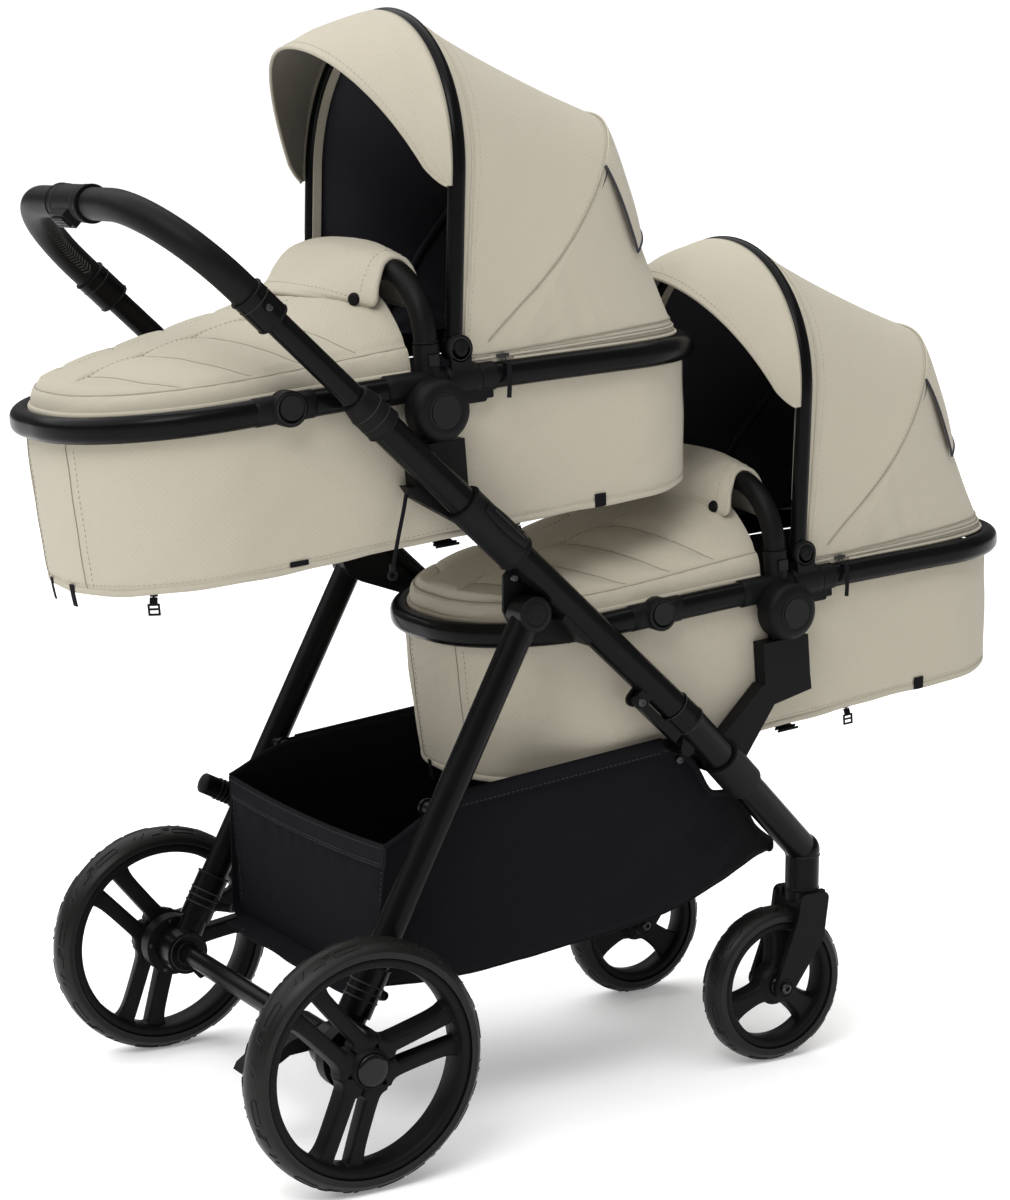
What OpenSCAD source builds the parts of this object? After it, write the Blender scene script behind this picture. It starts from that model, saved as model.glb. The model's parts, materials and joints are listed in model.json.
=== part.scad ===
// Tandem twin pram: a folding tube frame on four wheels that carries two
// identical carrycots, the rear one above and behind the front one.
// Lengths are millimetres. +X is the way it rolls, +Y its left side, +Z up.
// Sizes below are measured from the floor under the rear axle; row() then
// moves the whole pram so that the origin lies under the middle of its box.

/* [Wheels] */
// Outer radius of a rear wheel
rear_wheel_r = 145; // [135:1:152]
// Width of a rear tyre
rear_tyre_w = 44; // [36:1:48]
// Middle plane of a rear wheel, out from the side rail
wheel_past_rail = 62; // [61:1:82]
// Outer radius of a front wheel
front_wheel_r = 100; // [90:1:104]
// Width of a front tyre
front_tyre_w = 38; // [30:1:42]
// Front wheel's axle behind its swivel axis
caster_trail = 45; // [36:1:52]
// Radius of the rear spindle
rear_spindle_r = 6; // [5:0.5:8]
// Radius of the front axle bolt
front_bolt_r = 5; // [4:0.5:7]
// Running clearance of pins and spindles
run_gap = 0.05; // [0.02:0.01:0.1]

/* [Frame] */
// Middle of the side rails, out from the rim tube
rail_past_rim = 36; // [35:0.5:40]
// Slope of the side rails
rail_angle = 42.5; // [41.5:0.25:43]
// Butt joint of the rails, ahead of the rear axle
butt_x = 450; // [446:1:452]
// Butt joint of the rails, above the floor
butt_z = 491; // [488:1:493]
// Outer radius of the main rail
rail_r = 18.5; // [17.5:0.25:19]
// Outer radius of the telescopic tube
slide_tube_r = 14; // [12:0.5:15]
// Outer radius of the lower rail
lower_rail_r = 20; // [18:0.5:21]
// Outer radius of a rear leg
leg_r = 17; // [14:0.5:18]
// Caster axis, ahead of the rear axle
caster_x = 691; // [685:1:700]
// Caster axis, from the centre line
caster_y = 159; // [155:1:165]
// Outer radius of the rear axle tube
axle_r = 12; // [10:0.5:14]
// Main rail past the clamps of the upper adapters
rail_past_clamp = 162; // [155:1:170]

/* [Handle] */
// Straight of the grip between its ferrule and its corner
grip_leg = 11; // [4:1:24]
// Corner radius of the handle
handle_corner_r = 122; // [100:1:140]
// Radius of the foam grip
grip_r = 17.5; // [16:0.25:19]
// How far the handle slides in
handle_travel = 120; // [80:5:125]

/* [Carrycots] */
// Hub of the upper cot, ahead of the rear axle
upper_hub_x = 139; // [136:1:142]
// Hub of the upper cot, above the floor
upper_hub_z = 857; // [855:1:862]
// Lower cot's hub ahead of the upper one
cot_step = 485; // [480:1:495]
// Lower cot's hub below the upper one
cot_drop = 269; // [262:1:271]
// Head-up tilt of the cots
cot_tilt = 5; // [4:0.25:6]
// Middle of the rim tube, from the centre line
rim_half_w = 182; // [176:1:183]
// Rim from the hub to the foot end
foot_len = 392; // [380:1:398]
// Rim from the hub to the head end
head_len = 415; // [405:1:425]
// Half of the rim's straight across the foot
foot_straight = 17; // [12:1:32]
// Half of the rim's straight across the head
head_straight = 42; // [32:1:62]
// Half width of the rim tube
rim_r = 12; // [10:0.5:12.5]
// Upright flat between the rim tube's round edges
rim_flat = 6; // [2:0.5:8]
// Rim's middle above the hub's middle
rim_z = 26; // [24:0.5:30]
// Depth of the tub below the rim's middle at the foot
foot_depth = 190; // [180:1:194]
// Depth of the tub below the rim's middle at the head
head_depth = 168; // [158:1:172]
// Wall of the tub and the basket
cloth_wall = 4; // [3:0.5:6]
// Radius of the hub housing
hub_r = 35.5; // [32:0.5:37]
// Radius of the hub button
hub_button_r = 18; // [14:0.5:20]
// Press of the round buttons
button_press = 3; // [2:0.5:4]
// How far a cot lifts out of its adapters
lift_travel = 25; // [20:1:27]

/* [Canopy] */
// Middle of the arch tube, in from the rim tube
arch_in = 5; // [4:0.5:10]
// Radius of the arch tube
arch_r = 10; // [8:0.5:11]
// Height of the arch above its pivot
arch_h = 369; // [355:1:380]
// Lean of the arch towards the head
arch_lean = 6.5; // [4:0.5:9]
// Canopy cloth's thickness
canopy_wall = 3; // [2:0.25:4]
// Reach of the visor past the arch, as a share of the arch's height
visor_share = 0.304; // [0.26:0.01:0.35]

/* [Hidden] */
$fn = 64;
gap = 0.3;

black = [0.05, 0.05, 0.055];
satin = [0.09, 0.09, 0.1];
rubber = [0.07, 0.07, 0.07];
stone = [0.76, 0.73, 0.66];
nylon = [0.06, 0.06, 0.07];

// Middle of the whole length: rim foot of the upper cot to rim head of the lower one
rail_y = rim_half_w + rail_past_rim;
rear_wheel_y = rail_y + wheel_past_rail;
foot_corner_r = rim_half_w - foot_straight;
head_corner_r = rim_half_w - head_straight;
arch_half_w = rim_half_w - arch_in;
lower_hub_x = upper_hub_x + cot_step;
lower_hub_z = upper_hub_z - cot_drop;
row_mid = (upper_hub_x - (foot_len + rim_r) * cos(cot_tilt)
         + lower_hub_x + (head_len + rim_r) * cos(cot_tilt)) / 2 - rim_z * sin(cot_tilt);

// A place in the rails' plane: s along the rail above the butt joint, n square to it
function rail_x(s, n = 0) = butt_x - s * cos(rail_angle) + n * sin(rail_angle);
function rail_z(s, n = 0) = butt_z + s * sin(rail_angle) + n * cos(rail_angle);

// Fold: hinge pins under the rails, leg pivots, and the link from legs to lower rails
fold_s = 46;
fold_n = -(rail_r + 8);
fold_pin_r = 3.5;
fold_boss_r = 6;
tongue_half = 6;
ear_t = 4.5;
seam = 1;
leg_s = 236.5;
leg_knuckle_r = 20.5;
leg_n = -(rail_r + leg_knuckle_r + 0.5);
leg_top_x = rail_x(leg_s, leg_n);
leg_top_z = rail_z(leg_s, leg_n);
leg_pin_r = 8;
axle_z = rear_wheel_r;
leg_dir = [leg_top_x, leg_top_z - axle_z] / norm([leg_top_x, leg_top_z - axle_z]);
link_rear_z = 400;
link_rear_x = leg_dir[0] / leg_dir[1] * (link_rear_z - axle_z);
link_front_x = 473;
link_front_z = 436;
link_pin_r = 5;
link_play = 1;
link_in = 34;
link_y = rail_y - link_in;
link_t = 4;
link_h = 16;

// Clamps, telescopic tube, collar and ferrule along the rail
clamp_s = 294;
clamp_len = 96;
rail_len = clamp_s + clamp_len + rail_past_clamp;
tube_low = 340;
collar_low = rail_len - 30;
collar_top = rail_len + 20;
collar_r = rail_r + 2.5;
ferrule_low = collar_top + handle_travel + 8;
ferrule_top = ferrule_low + 44;
ferrule_r = slide_tube_r + 6;
handle_side_top = ferrule_top + grip_leg;
handle_top = handle_side_top + handle_corner_r;

// Lower rail: a short sleeve in line with the main rail, then a lean inwards
sleeve_len = 34;
bend_s = -sleeve_len + 6;
stem_r = 21.5;
elbow_proud = 0.4;
stem_low = 218;
bend_z = 268;
pivot_pin_r = 8;
pivot_pin_h = 38;
lean_from = [rail_x(bend_s), rail_y, rail_z(bend_s)];
lean_to = [caster_x, caster_y, bend_z];
function lean_at(x) = lean_from + (lean_to - lean_from) * (x - lean_from[0]) / (lean_to[0] - lean_from[0]);

// Wheels
rear_rim_r = rear_wheel_r - 18;
front_rim_r = front_wheel_r - 17;
rim_lip = 12;
hub_barrel_r = 21;
leg_in = rail_y - leg_r;
leg_out = rail_y + leg_r;
drum_out = rear_wheel_y - rear_tyre_w / 2 - 2;
drum_r = 38;
boss_r = 27;
boss_proud = 1;

// Cot: everything below is in the cot's own frame, from its hub
rim_top = rim_z + rim_flat / 2 + rim_r;
rim_low = rim_z - rim_flat / 2 - rim_r;
rim_in = rim_half_w - rim_r;
rim_out = rim_half_w + rim_r;
hub_out = rim_out + 30;
plug_y0 = rim_out - 9;
plug_y1 = rim_out + 2;
plug_half = 15;
plug_low = -hub_r - 2 - lift_travel - 16;
socket_top = -hub_r - 1;
socket_low = plug_low - 6;
knuckle_x = -174;
knuckle_r = 20;
knuckle_button_r = 14;
pivot_x = 42;
pivot_z = 62;
pivot_disc_r = 16;
arch_pin_r = 5;
post_t = 6;
bumper_x = 6;
bumper_r = 13;
bumper_y = rim_half_w - 3;
bumper_top = 152;
bumper_corner_r = 76;
bumper_collar_h = 30;
bumper_button = 13;

module row() {
    translate([-row_mid, 0, 0]) children();
}

// Left side as drawn, right side mirrored
module on_side(side) {
    if (side > 0) children();
    else mirror([0, 1, 0]) children();
}

module both_sides() {
    children();
    mirror([0, 1, 0]) children();
}

// Frame of the rails' plane: z runs up the rail from the butt joint, x square to it
module rail_plane() {
    translate([butt_x, 0, butt_z]) rotate([0, rail_angle - 90, 0]) children();
}

// The same frame on the left rail's centre line
module on_rail() {
    rail_plane() translate([0, rail_y, 0]) children();
}

module cot_frame(upper) {
    translate([upper ? upper_hub_x : lower_hub_x, 0, upper ? upper_hub_z : lower_hub_z])
        rotate([0, -cot_tilt, 0]) children();
}

// Round bar between two points
module rod(p, q, r) {
    v = q - p;
    translate(p) rotate([0, acos(v[2] / norm(v)), atan2(v[1], v[0])]) cylinder(h = norm(v), r = r);
}

// Round bar along y between y0 and y1 at a place in the side view
module cross_pin(x, z, y0, y1, r) {
    translate([x, y1, z]) rotate([90, 0, 0]) cylinder(h = y1 - y0, r = r);
}

// Side-view outline made into a plate between y0 and y1
module plate(y0, y1) {
    translate([0, y1, 0]) rotate([90, 0, 0]) linear_extrude(y1 - y0) children();
}

// Closed skin over a list of rings with equally many points, capped at both ends
module loft(rings) {
    m = len(rings);
    n = len(rings[0]);
    sides = [for (i = [0:m - 2], j = [0:n - 1], k = [0, 1]) k == 0
        ? [i * n + j, (i + 1) * n + j, (i + 1) * n + (j + 1) % n]
        : [i * n + j, (i + 1) * n + (j + 1) % n, i * n + (j + 1) % n]];
    caps = [[for (j = [0:n - 1]) j], [for (j = [n - 1:-1:0]) (m - 1) * n + j]];
    polyhedron(points = [for (r = rings, p = r) p], faces = concat(sides, caps));
}

// Thick sheet over a grid of points: rows of outer points and the rows under them
module sheet(over, under) {
    m = len(over);
    n = len(over[0]);
    k = m * n;
    function at(i, j) = i * n + j;
    top = [for (i = [0:m - 2], j = [0:n - 2], h = [0, 1]) h == 0
        ? [at(i, j), at(i + 1, j + 1), at(i + 1, j)]
        : [at(i, j), at(i, j + 1), at(i + 1, j + 1)]];
    low = [for (f = top) [f[0] + k, f[2] + k, f[1] + k]];
    edge = concat(
        [for (i = [0:m - 1]) at(i, 0)],
        [for (j = [1:n - 1]) at(m - 1, j)],
        [for (i = [m - 2:-1:0]) at(i, n - 1)],
        [for (j = [n - 2:-1:1]) at(0, j)]);
    rim = [for (e = [0:len(edge) - 1], h = [0, 1]) let(a = edge[e], b = edge[(e + 1) % len(edge)])
        h == 0 ? [a, b, b + k] : [a, b + k, a + k]];
    polyhedron(points = concat([for (r = over, p = r) p], [for (r = under, p = r) p]),
        faces = concat(top, low, rim));
}

// Plan outline of a cot at an inset from the rim's middle line, n steps to a corner
function cot_outline(inset, n) = let(
    w = rim_half_w - inset,
    rh = head_corner_r - inset / 2,
    rf = foot_corner_r - inset / 2,
    xh = head_len - inset - rh,
    xf = -foot_len + inset + rf) concat(
    [for (i = [0:n]) let(a = 90 * i / n) [xh + rh * cos(a), w - rh + rh * sin(a)]],
    [for (i = [0:n]) let(a = 90 + 90 * i / n) [xf + rf * cos(a), w - rf + rf * sin(a)]],
    [for (i = [0:n]) let(a = 180 + 90 * i / n) [xf + rf * cos(a), rf - w + rf * sin(a)]],
    [for (i = [0:n]) let(a = 270 + 90 * i / n) [xh + rh * cos(a), rh - w + rh * sin(a)]]);

function tub_floor(x) =
    rim_z - foot_depth + (foot_depth - head_depth) * (x + foot_len) / (foot_len + head_len);
function cot_ring(inset, lift, n) = [for (p = cot_outline(inset, n)) [p[0], p[1], tub_floor(p[0]) + lift]];
function level_ring(inset, z, n) = [for (p = cot_outline(inset, n)) [p[0], p[1], z]];

// Frame

module rail(side) {
    color(satin) row() on_side(side) on_rail() {
        difference() {
            union() {
                cylinder(h = rail_len, r = rail_r);
                for (y = [-tongue_half - gap - ear_t, tongue_half + gap])
                    plate(y, y + ear_t) {
                        translate([fold_n, fold_s]) circle(r = fold_boss_r + 3);
                        translate([fold_n, fold_s - fold_boss_r - 3])
                            square([-fold_n - 8, 2 * fold_boss_r + 6]);
                    }
            }
            translate([0, 0, -1]) cylinder(h = rail_len + 2, r = slide_tube_r + run_gap);
        }
        cross_pin(fold_n, fold_s, -tongue_half - gap - ear_t, tongue_half + gap + ear_t, fold_pin_r);
    }
}

// Collars where the telescopic tubes enter the rails, and brackets that hold the legs
module rail_fittings() {
    bracket_in = leg_r + gap;
    bracket_t = 4;
    color(black) row() both_sides() on_rail() {
        difference() {
            union() {
                translate([0, 0, collar_low]) cylinder(h = rail_len - collar_low, r = collar_r);
                translate([0, 0, rail_len])
                    cylinder(h = collar_top - rail_len, r1 = collar_r, r2 = slide_tube_r + 3);
            }
            translate([0, 0, collar_low - 1]) cylinder(h = rail_len - collar_low + 1, r = rail_r);
            translate([0, 0, rail_len - 1])
                cylinder(h = collar_top - rail_len + 2, r = slide_tube_r + run_gap);
        }
        difference() {
            plate(-bracket_in - bracket_t, -bracket_in) polygon([
                [leg_n - leg_knuckle_r, leg_s + 2], [leg_n - 16, leg_s - 18], [-rail_r - 10, leg_s - 80],
                [-6, leg_s - 86], [-6, leg_s + 44], [-rail_r - 6, leg_s + 44], [leg_n - 15, leg_s + 17]]);
            cylinder(h = rail_len, r = rail_r);
        }
        difference() {
            plate(-bracket_in, rail_r - 6) polygon([
                [-rail_r - 4, leg_s - 84], [-10, leg_s - 84], [-10, leg_s - leg_knuckle_r - 12],
                [-rail_r - 4, leg_s - leg_knuckle_r - 16]]);
            cylinder(h = rail_len, r = rail_r);
        }
        cross_pin(leg_n, leg_s, -bracket_in - bracket_t, leg_r - 3, leg_pin_r);
    }
}

// Wall of the clamps that hold the adapters on the rails
clamp_t = 4.5;

// Socket block that a cot's plug drops into, in the cot's frame
module socket_block() {
    wall = 5;
    play = 0.5;
    difference() {
        translate([-plug_half - wall - 14, plug_y0 - wall, socket_low - 6])
            cube([2 * (plug_half + wall) + 28, plug_y1 - plug_y0 + 2 * wall, socket_top - socket_low + 6]);
        translate([-plug_half - play, plug_y0 - play, plug_low - play])
            cube([2 * (plug_half + play), plug_y1 - plug_y0 + 2 * play, socket_top - plug_low + 20]);
    }
}

// Adapters that clamp round the main rails and carry the upper cot
module upper_adapters() {
    color(black) row() both_sides() difference() {
        union() {
            cot_frame(true) socket_block();
            on_rail() translate([0, 0, clamp_s]) cylinder(h = clamp_len, r = rail_r + clamp_t);
            plate(plug_y0 - 4, plug_y1 + 5) polygon([
                [upper_hub_x - 36, upper_hub_z + socket_low],
                [upper_hub_x - 26, upper_hub_z + socket_low - 14],
                [rail_x(clamp_s + 8), rail_z(clamp_s + 8)],
                [rail_x(clamp_s + 8, 24), rail_z(clamp_s + 8, 24)],
                [upper_hub_x + 30, upper_hub_z + socket_low]]);
        }
        on_rail() cylinder(h = rail_len, r = rail_r);
    }
}

module lower_rail(side) {
    color(satin) row() on_side(side) {
        difference() {
            union() {
                on_rail() {
                    translate([0, 0, -sleeve_len]) cylinder(h = sleeve_len - seam, r = lower_rail_r);
                    plate(-tongue_half, tongue_half) {
                        translate([fold_n, fold_s]) circle(r = fold_boss_r);
                        translate([fold_n - fold_boss_r, -sleeve_len + 4])
                            square([2 * fold_boss_r - 0.5, fold_s + sleeve_len - 4]);
                        translate([fold_n, -sleeve_len + 4]) square([-fold_n - 10, sleeve_len - 4 - seam]);
                    }
                }
                rod(lean_from, lean_to, lower_rail_r);
                translate(lean_from) sphere(r = lower_rail_r + elbow_proud);
                translate(lean_to) sphere(r = stem_r + elbow_proud);
                translate([caster_x, caster_y, stem_low]) cylinder(h = bend_z - stem_low, r = stem_r);
                cross_pin(link_front_x, link_front_z, link_y + link_t + gap, lean_at(link_front_x)[1],
                    link_pin_r + 5);
                translate([link_front_x - link_pin_r - 3, lean_at(link_front_x)[1] - 14, link_front_z])
                    cube([2 * link_pin_r + 6, 14, lean_at(link_front_x)[2] - link_front_z]);
            }
            on_rail() cross_pin(fold_n, fold_s, -rail_r, rail_r, fold_pin_r + run_gap);
            translate([caster_x, caster_y, stem_low - 1])
                cylinder(h = pivot_pin_h + 3, r = pivot_pin_r + run_gap);
        }
        cross_pin(link_front_x, link_front_z, link_y, link_y + link_t + gap + 1, link_pin_r);
    }
}

// Crossbar between the lower rails
crossbar_r = 9;
crossbar_x = 560;
module front_crossbar() {
    at = lean_at(crossbar_x);
    color(satin) row() difference() {
        cross_pin(at[0], at[2], -at[1], at[1], crossbar_r);
        both_sides() rod(lean_from, lean_to, lower_rail_r + clamp_t);
    }
}

// Arms on the lower rails that carry the lower cot
module lower_adapters() {
    arm_x = 552;
    arm_half = 22;
    a = lean_at(arm_x - arm_half);
    b = lean_at(arm_x + arm_half);
    base = lean_at(arm_x);
    color(black) row() both_sides() difference() {
        union() {
            cot_frame(false) socket_block();
            rod(a, b, lower_rail_r + clamp_t);
            plate(plug_y0 - 5, plug_y1 + 5) polygon([
                [base[0] - 24, base[2] + 36], [base[0] + 8, base[2] - 2],
                [lower_hub_x - 12, lower_hub_z + socket_low - 32],
                [lower_hub_x + 44, lower_hub_z + socket_low - 18],
                [lower_hub_x + 42, lower_hub_z + socket_low - 2],
                [lower_hub_x - 30, lower_hub_z + socket_low - 6]]);
        }
        rod(lean_from, lean_to, lower_rail_r);
    }
}

// Flat links from the legs to the lower rails; the basket hangs between them
module fold_links() {
    color(satin) row() both_sides() difference() {
        plate(link_y, link_y + link_t) {
            translate([link_rear_x, link_rear_z]) circle(r = link_pin_r + link_play + 5);
            translate([link_front_x, link_front_z]) circle(r = link_pin_r + 5);
            polygon([
                [link_rear_x, link_rear_z - link_h / 2], [link_front_x, link_front_z - link_h / 2],
                [link_front_x, link_front_z + link_h / 2], [link_rear_x, link_rear_z + link_h / 2]]);
        }
        cross_pin(link_rear_x, link_rear_z, link_y - 1, link_y + link_t + 1, link_pin_r + link_play);
        cross_pin(link_front_x, link_front_z, link_y - 1, link_y + link_t + 1, link_pin_r + run_gap);
    }
}

// Shopping basket: a cloth bag with an open top
module basket() {
    half = link_y;
    tip_half = caster_y - 35;
    wide_to = link_front_x + 10;
    tip = [caster_x - 23, stem_low + 54];
    rear_x = 56;
    hem_rear_z = link_rear_z - 28;
    hem_drop = lower_rail_r + 17;
    floor_z = axle_z + 45;
    module side_view(in, open) polygon([
        [rear_x + in, hem_rear_z + open], [link_rear_x, link_rear_z + 4 + open],
        [link_front_x + 17, link_front_z - 18 + open],
        [crossbar_x, lean_at(crossbar_x)[2] - hem_drop + open],
        [tip[0] - 2 * in, tip[1] + open], [tip[0] - 2 * in, tip[1] - 10 + in],
        [link_front_x + 25, floor_z + 32 + in], [rear_x + 119, floor_z - 3 + in],
        [rear_x + 14 + in, floor_z + in]]);
    module plan(in) polygon([
        [rear_x + in, -half + in], [wide_to, -half + in], [tip[0] - in, -tip_half + in],
        [tip[0] - in, tip_half - in], [wide_to, half - in], [rear_x + in, half - in]]);
    color(nylon) row() difference() {
        intersection() {
            plate(-half, half) side_view(0, 0);
            translate([0, 0, 100]) linear_extrude(400) plan(0);
        }
        intersection() {
            plate(-half, half) side_view(cloth_wall, 60);
            translate([0, 0, 100]) linear_extrude(500) plan(cloth_wall);
        }
    }
}

// Rear legs; the left one has a short peg that points back and up, square to the leg
peg_z = 326;
peg_r = 13;
peg_base = leg_r + 3;
peg_len = 46;

module rear_leg(side) {
    sleeve = [drum_r + 5, drum_r + 64];
    top = [leg_top_x, rail_y, leg_top_z];
    foot = [0, rail_y, axle_z];
    color(satin) row() on_side(side) {
        difference() {
            union() {
                rod(foot, top, leg_r);
                cross_pin(leg_top_x, leg_top_z, leg_in, leg_out, leg_knuckle_r);
                cross_pin(0, axle_z, leg_in - 4, leg_out + boss_proud, boss_r);
                rod([leg_dir[0] * sleeve[0], rail_y, axle_z + leg_dir[1] * sleeve[0]],
                    [leg_dir[0] * sleeve[1], rail_y, axle_z + leg_dir[1] * sleeve[1]], leg_r + 3);
                cross_pin(link_rear_x, link_rear_z, link_y + link_t + gap, rail_y, link_pin_r + 4);
            }
            cross_pin(leg_top_x, leg_top_z, leg_in - 1, leg_out - 2, leg_pin_r + run_gap);
            cross_pin(0, axle_z, leg_in - 5, leg_out + boss_proud + 1, axle_r);
        }
        cross_pin(link_rear_x, link_rear_z, link_y, link_y + link_t + gap + 1, link_pin_r);
        if (side > 0) {
            out = [-leg_dir[1], 0, leg_dir[0]];
            from = [leg_dir[0] / leg_dir[1] * (peg_z - axle_z), rail_y, peg_z];
            rod(from, from + out * peg_base, peg_r + 2);
            rod(from, from + out * (peg_base + peg_len), peg_r);
        }
    }
}

// Axle tube with the wheel spindles at its ends, and the bar that links the brakes
module rear_axle() {
    bar_x = axle_r + 8;
    bar_z = axle_z - axle_r - 14;
    bar_r = 5;
    color(satin) row() {
        cross_pin(0, axle_z, -leg_out - boss_proud, leg_out + boss_proud, axle_r);
        both_sides() cross_pin(0, axle_z, leg_out, rear_wheel_y + 16, rear_spindle_r);
        cross_pin(bar_x, bar_z, -leg_in, leg_in, bar_r);
        both_sides() plate(leg_in - 10, leg_in - 4) polygon([
            [4 - axle_r, axle_z - axle_r + 3], [bar_x - 6, bar_z - 8],
            [bar_x + 6, bar_z - 4], [axle_r - 3, axle_z - axle_r + 4]]);
    }
}

module brake_drums() {
    color(black) row() both_sides() difference() {
        cross_pin(0, axle_z, leg_out + boss_proud, drum_out, drum_r);
        cross_pin(0, axle_z, leg_out, drum_out + 1, rear_spindle_r);
    }
}

// Foot pedal that turns on the axle tube, inside the right rear wheel
pedal_in = 25;
pedal_w = 50;
pedal_y0 = pedal_in - leg_in;
pedal_y1 = pedal_y0 + pedal_w;
module brake_pedal() {
    color(black) row() difference() {
        union() {
            cross_pin(0, axle_z, pedal_y0, pedal_y1, axle_r + 6);
            plate(pedal_y0, pedal_y1) polygon([
                [-6, axle_z + 12], [-40, axle_z + 2], [-84, axle_z - 28],
                [-88, axle_z - 36], [-82, axle_z - 38],
                [-40, axle_z - 14], [-6, axle_z - 12]]);
        }
        cross_pin(0, axle_z, pedal_y0 - 1, pedal_y1 + 1, axle_r + run_gap);
    }
}

// Wheels, drawn about their own axle along y

module wheel_at(x, y, z, side) {
    translate([x, side * y, z]) mirror([0, side > 0 ? 0 : 1, 0]) rotate([-90, 0, 0]) children();
}

// Tyre of outer radius r on a rim of radius seat
module tyre(r, seat, w) {
    crown = w * 0.62;
    rotate_extrude($fn = 96) intersection() {
        translate([r - crown, 0]) circle(r = crown);
        translate([seat, -w / 2]) square([r - seat + 1, w]);
    }
}

// Rim with three pairs of spokes from the angle turn on; the hub cap is on the outer side
module spoked_rim(seat, w, bore, barrel_w, spoke_w, cap_r, turn) {
    spoke_gap = spoke_w * 0.7;
    cap_h = 4;
    difference() {
        union() {
            difference() {
                translate([0, 0, -w / 2]) cylinder(h = w, r = seat, $fn = 96);
                translate([0, 0, -w / 2 - 1]) cylinder(h = w + 2, r = seat - rim_lip, $fn = 96);
            }
            translate([0, 0, -barrel_w / 2]) cylinder(h = barrel_w, r = hub_barrel_r);
            translate([0, 0, barrel_w / 2]) cylinder(h = cap_h, r = cap_r);
            for (a = [turn:120:turn + 240], t = [-1, 1])
                rotate([0, 0, a])
                    translate([hub_barrel_r - 4, t * (spoke_gap + spoke_w) / 2 - spoke_w / 2, -w * 0.3])
                        cube([seat - rim_lip / 2 - hub_barrel_r + 4, spoke_w, w * 0.6]);
        }
        translate([0, 0, -barrel_w / 2 - 1]) cylinder(h = barrel_w + 1, r = bore);
    }
}

module rear_rim(side) {
    color(black) row() wheel_at(0, rear_wheel_y, axle_z, side)
        spoked_rim(rear_rim_r, rear_tyre_w - 10, rear_spindle_r + run_gap, rear_tyre_w - 2, 13, 19, 108);
}

module rear_tyre(side) {
    color(rubber) row() wheel_at(0, rear_wheel_y, axle_z, side)
        tyre(rear_wheel_r, rear_rim_r, rear_tyre_w);
}

front_axle_x = caster_x - caster_trail;
module front_rim(side) {
    color(black) row() wheel_at(front_axle_x, caster_y, front_wheel_r, side) difference() {
        spoked_rim(front_rim_r, front_tyre_w - 8, front_bolt_r + run_gap, front_tyre_w - 4, 9,
            front_bolt_r + 8, 38);
        translate([0, 0, -front_tyre_w]) cylinder(h = 2 * front_tyre_w, r = front_bolt_r + run_gap);
    }
}

module front_tyre(side) {
    color(rubber) row() wheel_at(front_axle_x, caster_y, front_wheel_r, side)
        tyre(front_wheel_r, front_rim_r, front_tyre_w);
}

// Caster fork: swivel pin, crown and two blades round the front wheel
module caster_fork(side) {
    blade_in = front_tyre_w / 2 + 4;
    blade_t = 7;
    blade_round = 9;
    crown_low = 2 * front_wheel_r + 3;
    cheek = stem_r - 1.5;
    color(black) row() on_side(side) translate([0, caster_y, 0]) {
        translate([caster_x, 0, stem_low - gap - 2]) cylinder(h = pivot_pin_h + gap + 2, r = pivot_pin_r);
        difference() {
            translate([caster_x, 0, crown_low]) cylinder(h = stem_low - gap - crown_low, r = stem_r);
            cross_pin(front_axle_x, front_wheel_r, -blade_in, blade_in, front_wheel_r + 3);
        }
        for (t = [-1, 1])
            plate(t > 0 ? blade_in : -blade_in - blade_t, t > 0 ? blade_in + blade_t : -blade_in) {
                translate([front_axle_x, front_wheel_r]) circle(r = front_bolt_r + 9);
                offset(r = blade_round) offset(delta = -blade_round) polygon([
                    [front_axle_x - 13, front_wheel_r + 4], [front_axle_x + 12, front_wheel_r - 8],
                    [caster_x + 14, stem_low - 62], [caster_x + 22, stem_low - gap],
                    [caster_x - 22, stem_low - gap], [caster_x - 26, stem_low - 30]]);
            }
        cross_pin(front_axle_x, front_wheel_r, -blade_in - blade_t - 3, blade_in + blade_t + 3, front_bolt_r);
        for (t = [-1, 1])
            plate(t > 0 ? stem_r - 6 : -blade_in, t > 0 ? blade_in : 6 - stem_r)
                translate([caster_x - cheek, crown_low + 3])
                    square([2 * cheek, stem_low - gap - crown_low - 3]);
    }
}

// Handle

// Telescopic tubes with the ferrules that hold the grip
module handle_tubes() {
    color(satin) row() both_sides() on_rail() {
        translate([0, 0, tube_low]) cylinder(h = ferrule_low - tube_low + 2, r = slide_tube_r);
        translate([0, 0, ferrule_low]) cylinder(h = ferrule_top - ferrule_low, r = ferrule_r);
        translate([0, 0, (ferrule_low + ferrule_top) / 2]) rotate([-90, 0, 0])
            cylinder(h = ferrule_r + 4, r = 5);
    }
}

// Foam grip, a U in the rails' plane
module handle_grip() {
    bar_half = rail_y - handle_corner_r;
    color(black) row() rail_plane() {
        both_sides() translate([0, rail_y, ferrule_top]) cylinder(h = grip_leg, r = grip_r);
        both_sides() translate([0, bar_half, handle_side_top]) rotate([90, 0, 90]) rotate_extrude(angle = 90)
            translate([handle_corner_r, 0]) circle(r = grip_r);
        translate([0, bar_half, handle_top]) rotate([90, 0, 0]) cylinder(h = 2 * bar_half, r = grip_r);
    }
}

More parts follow.
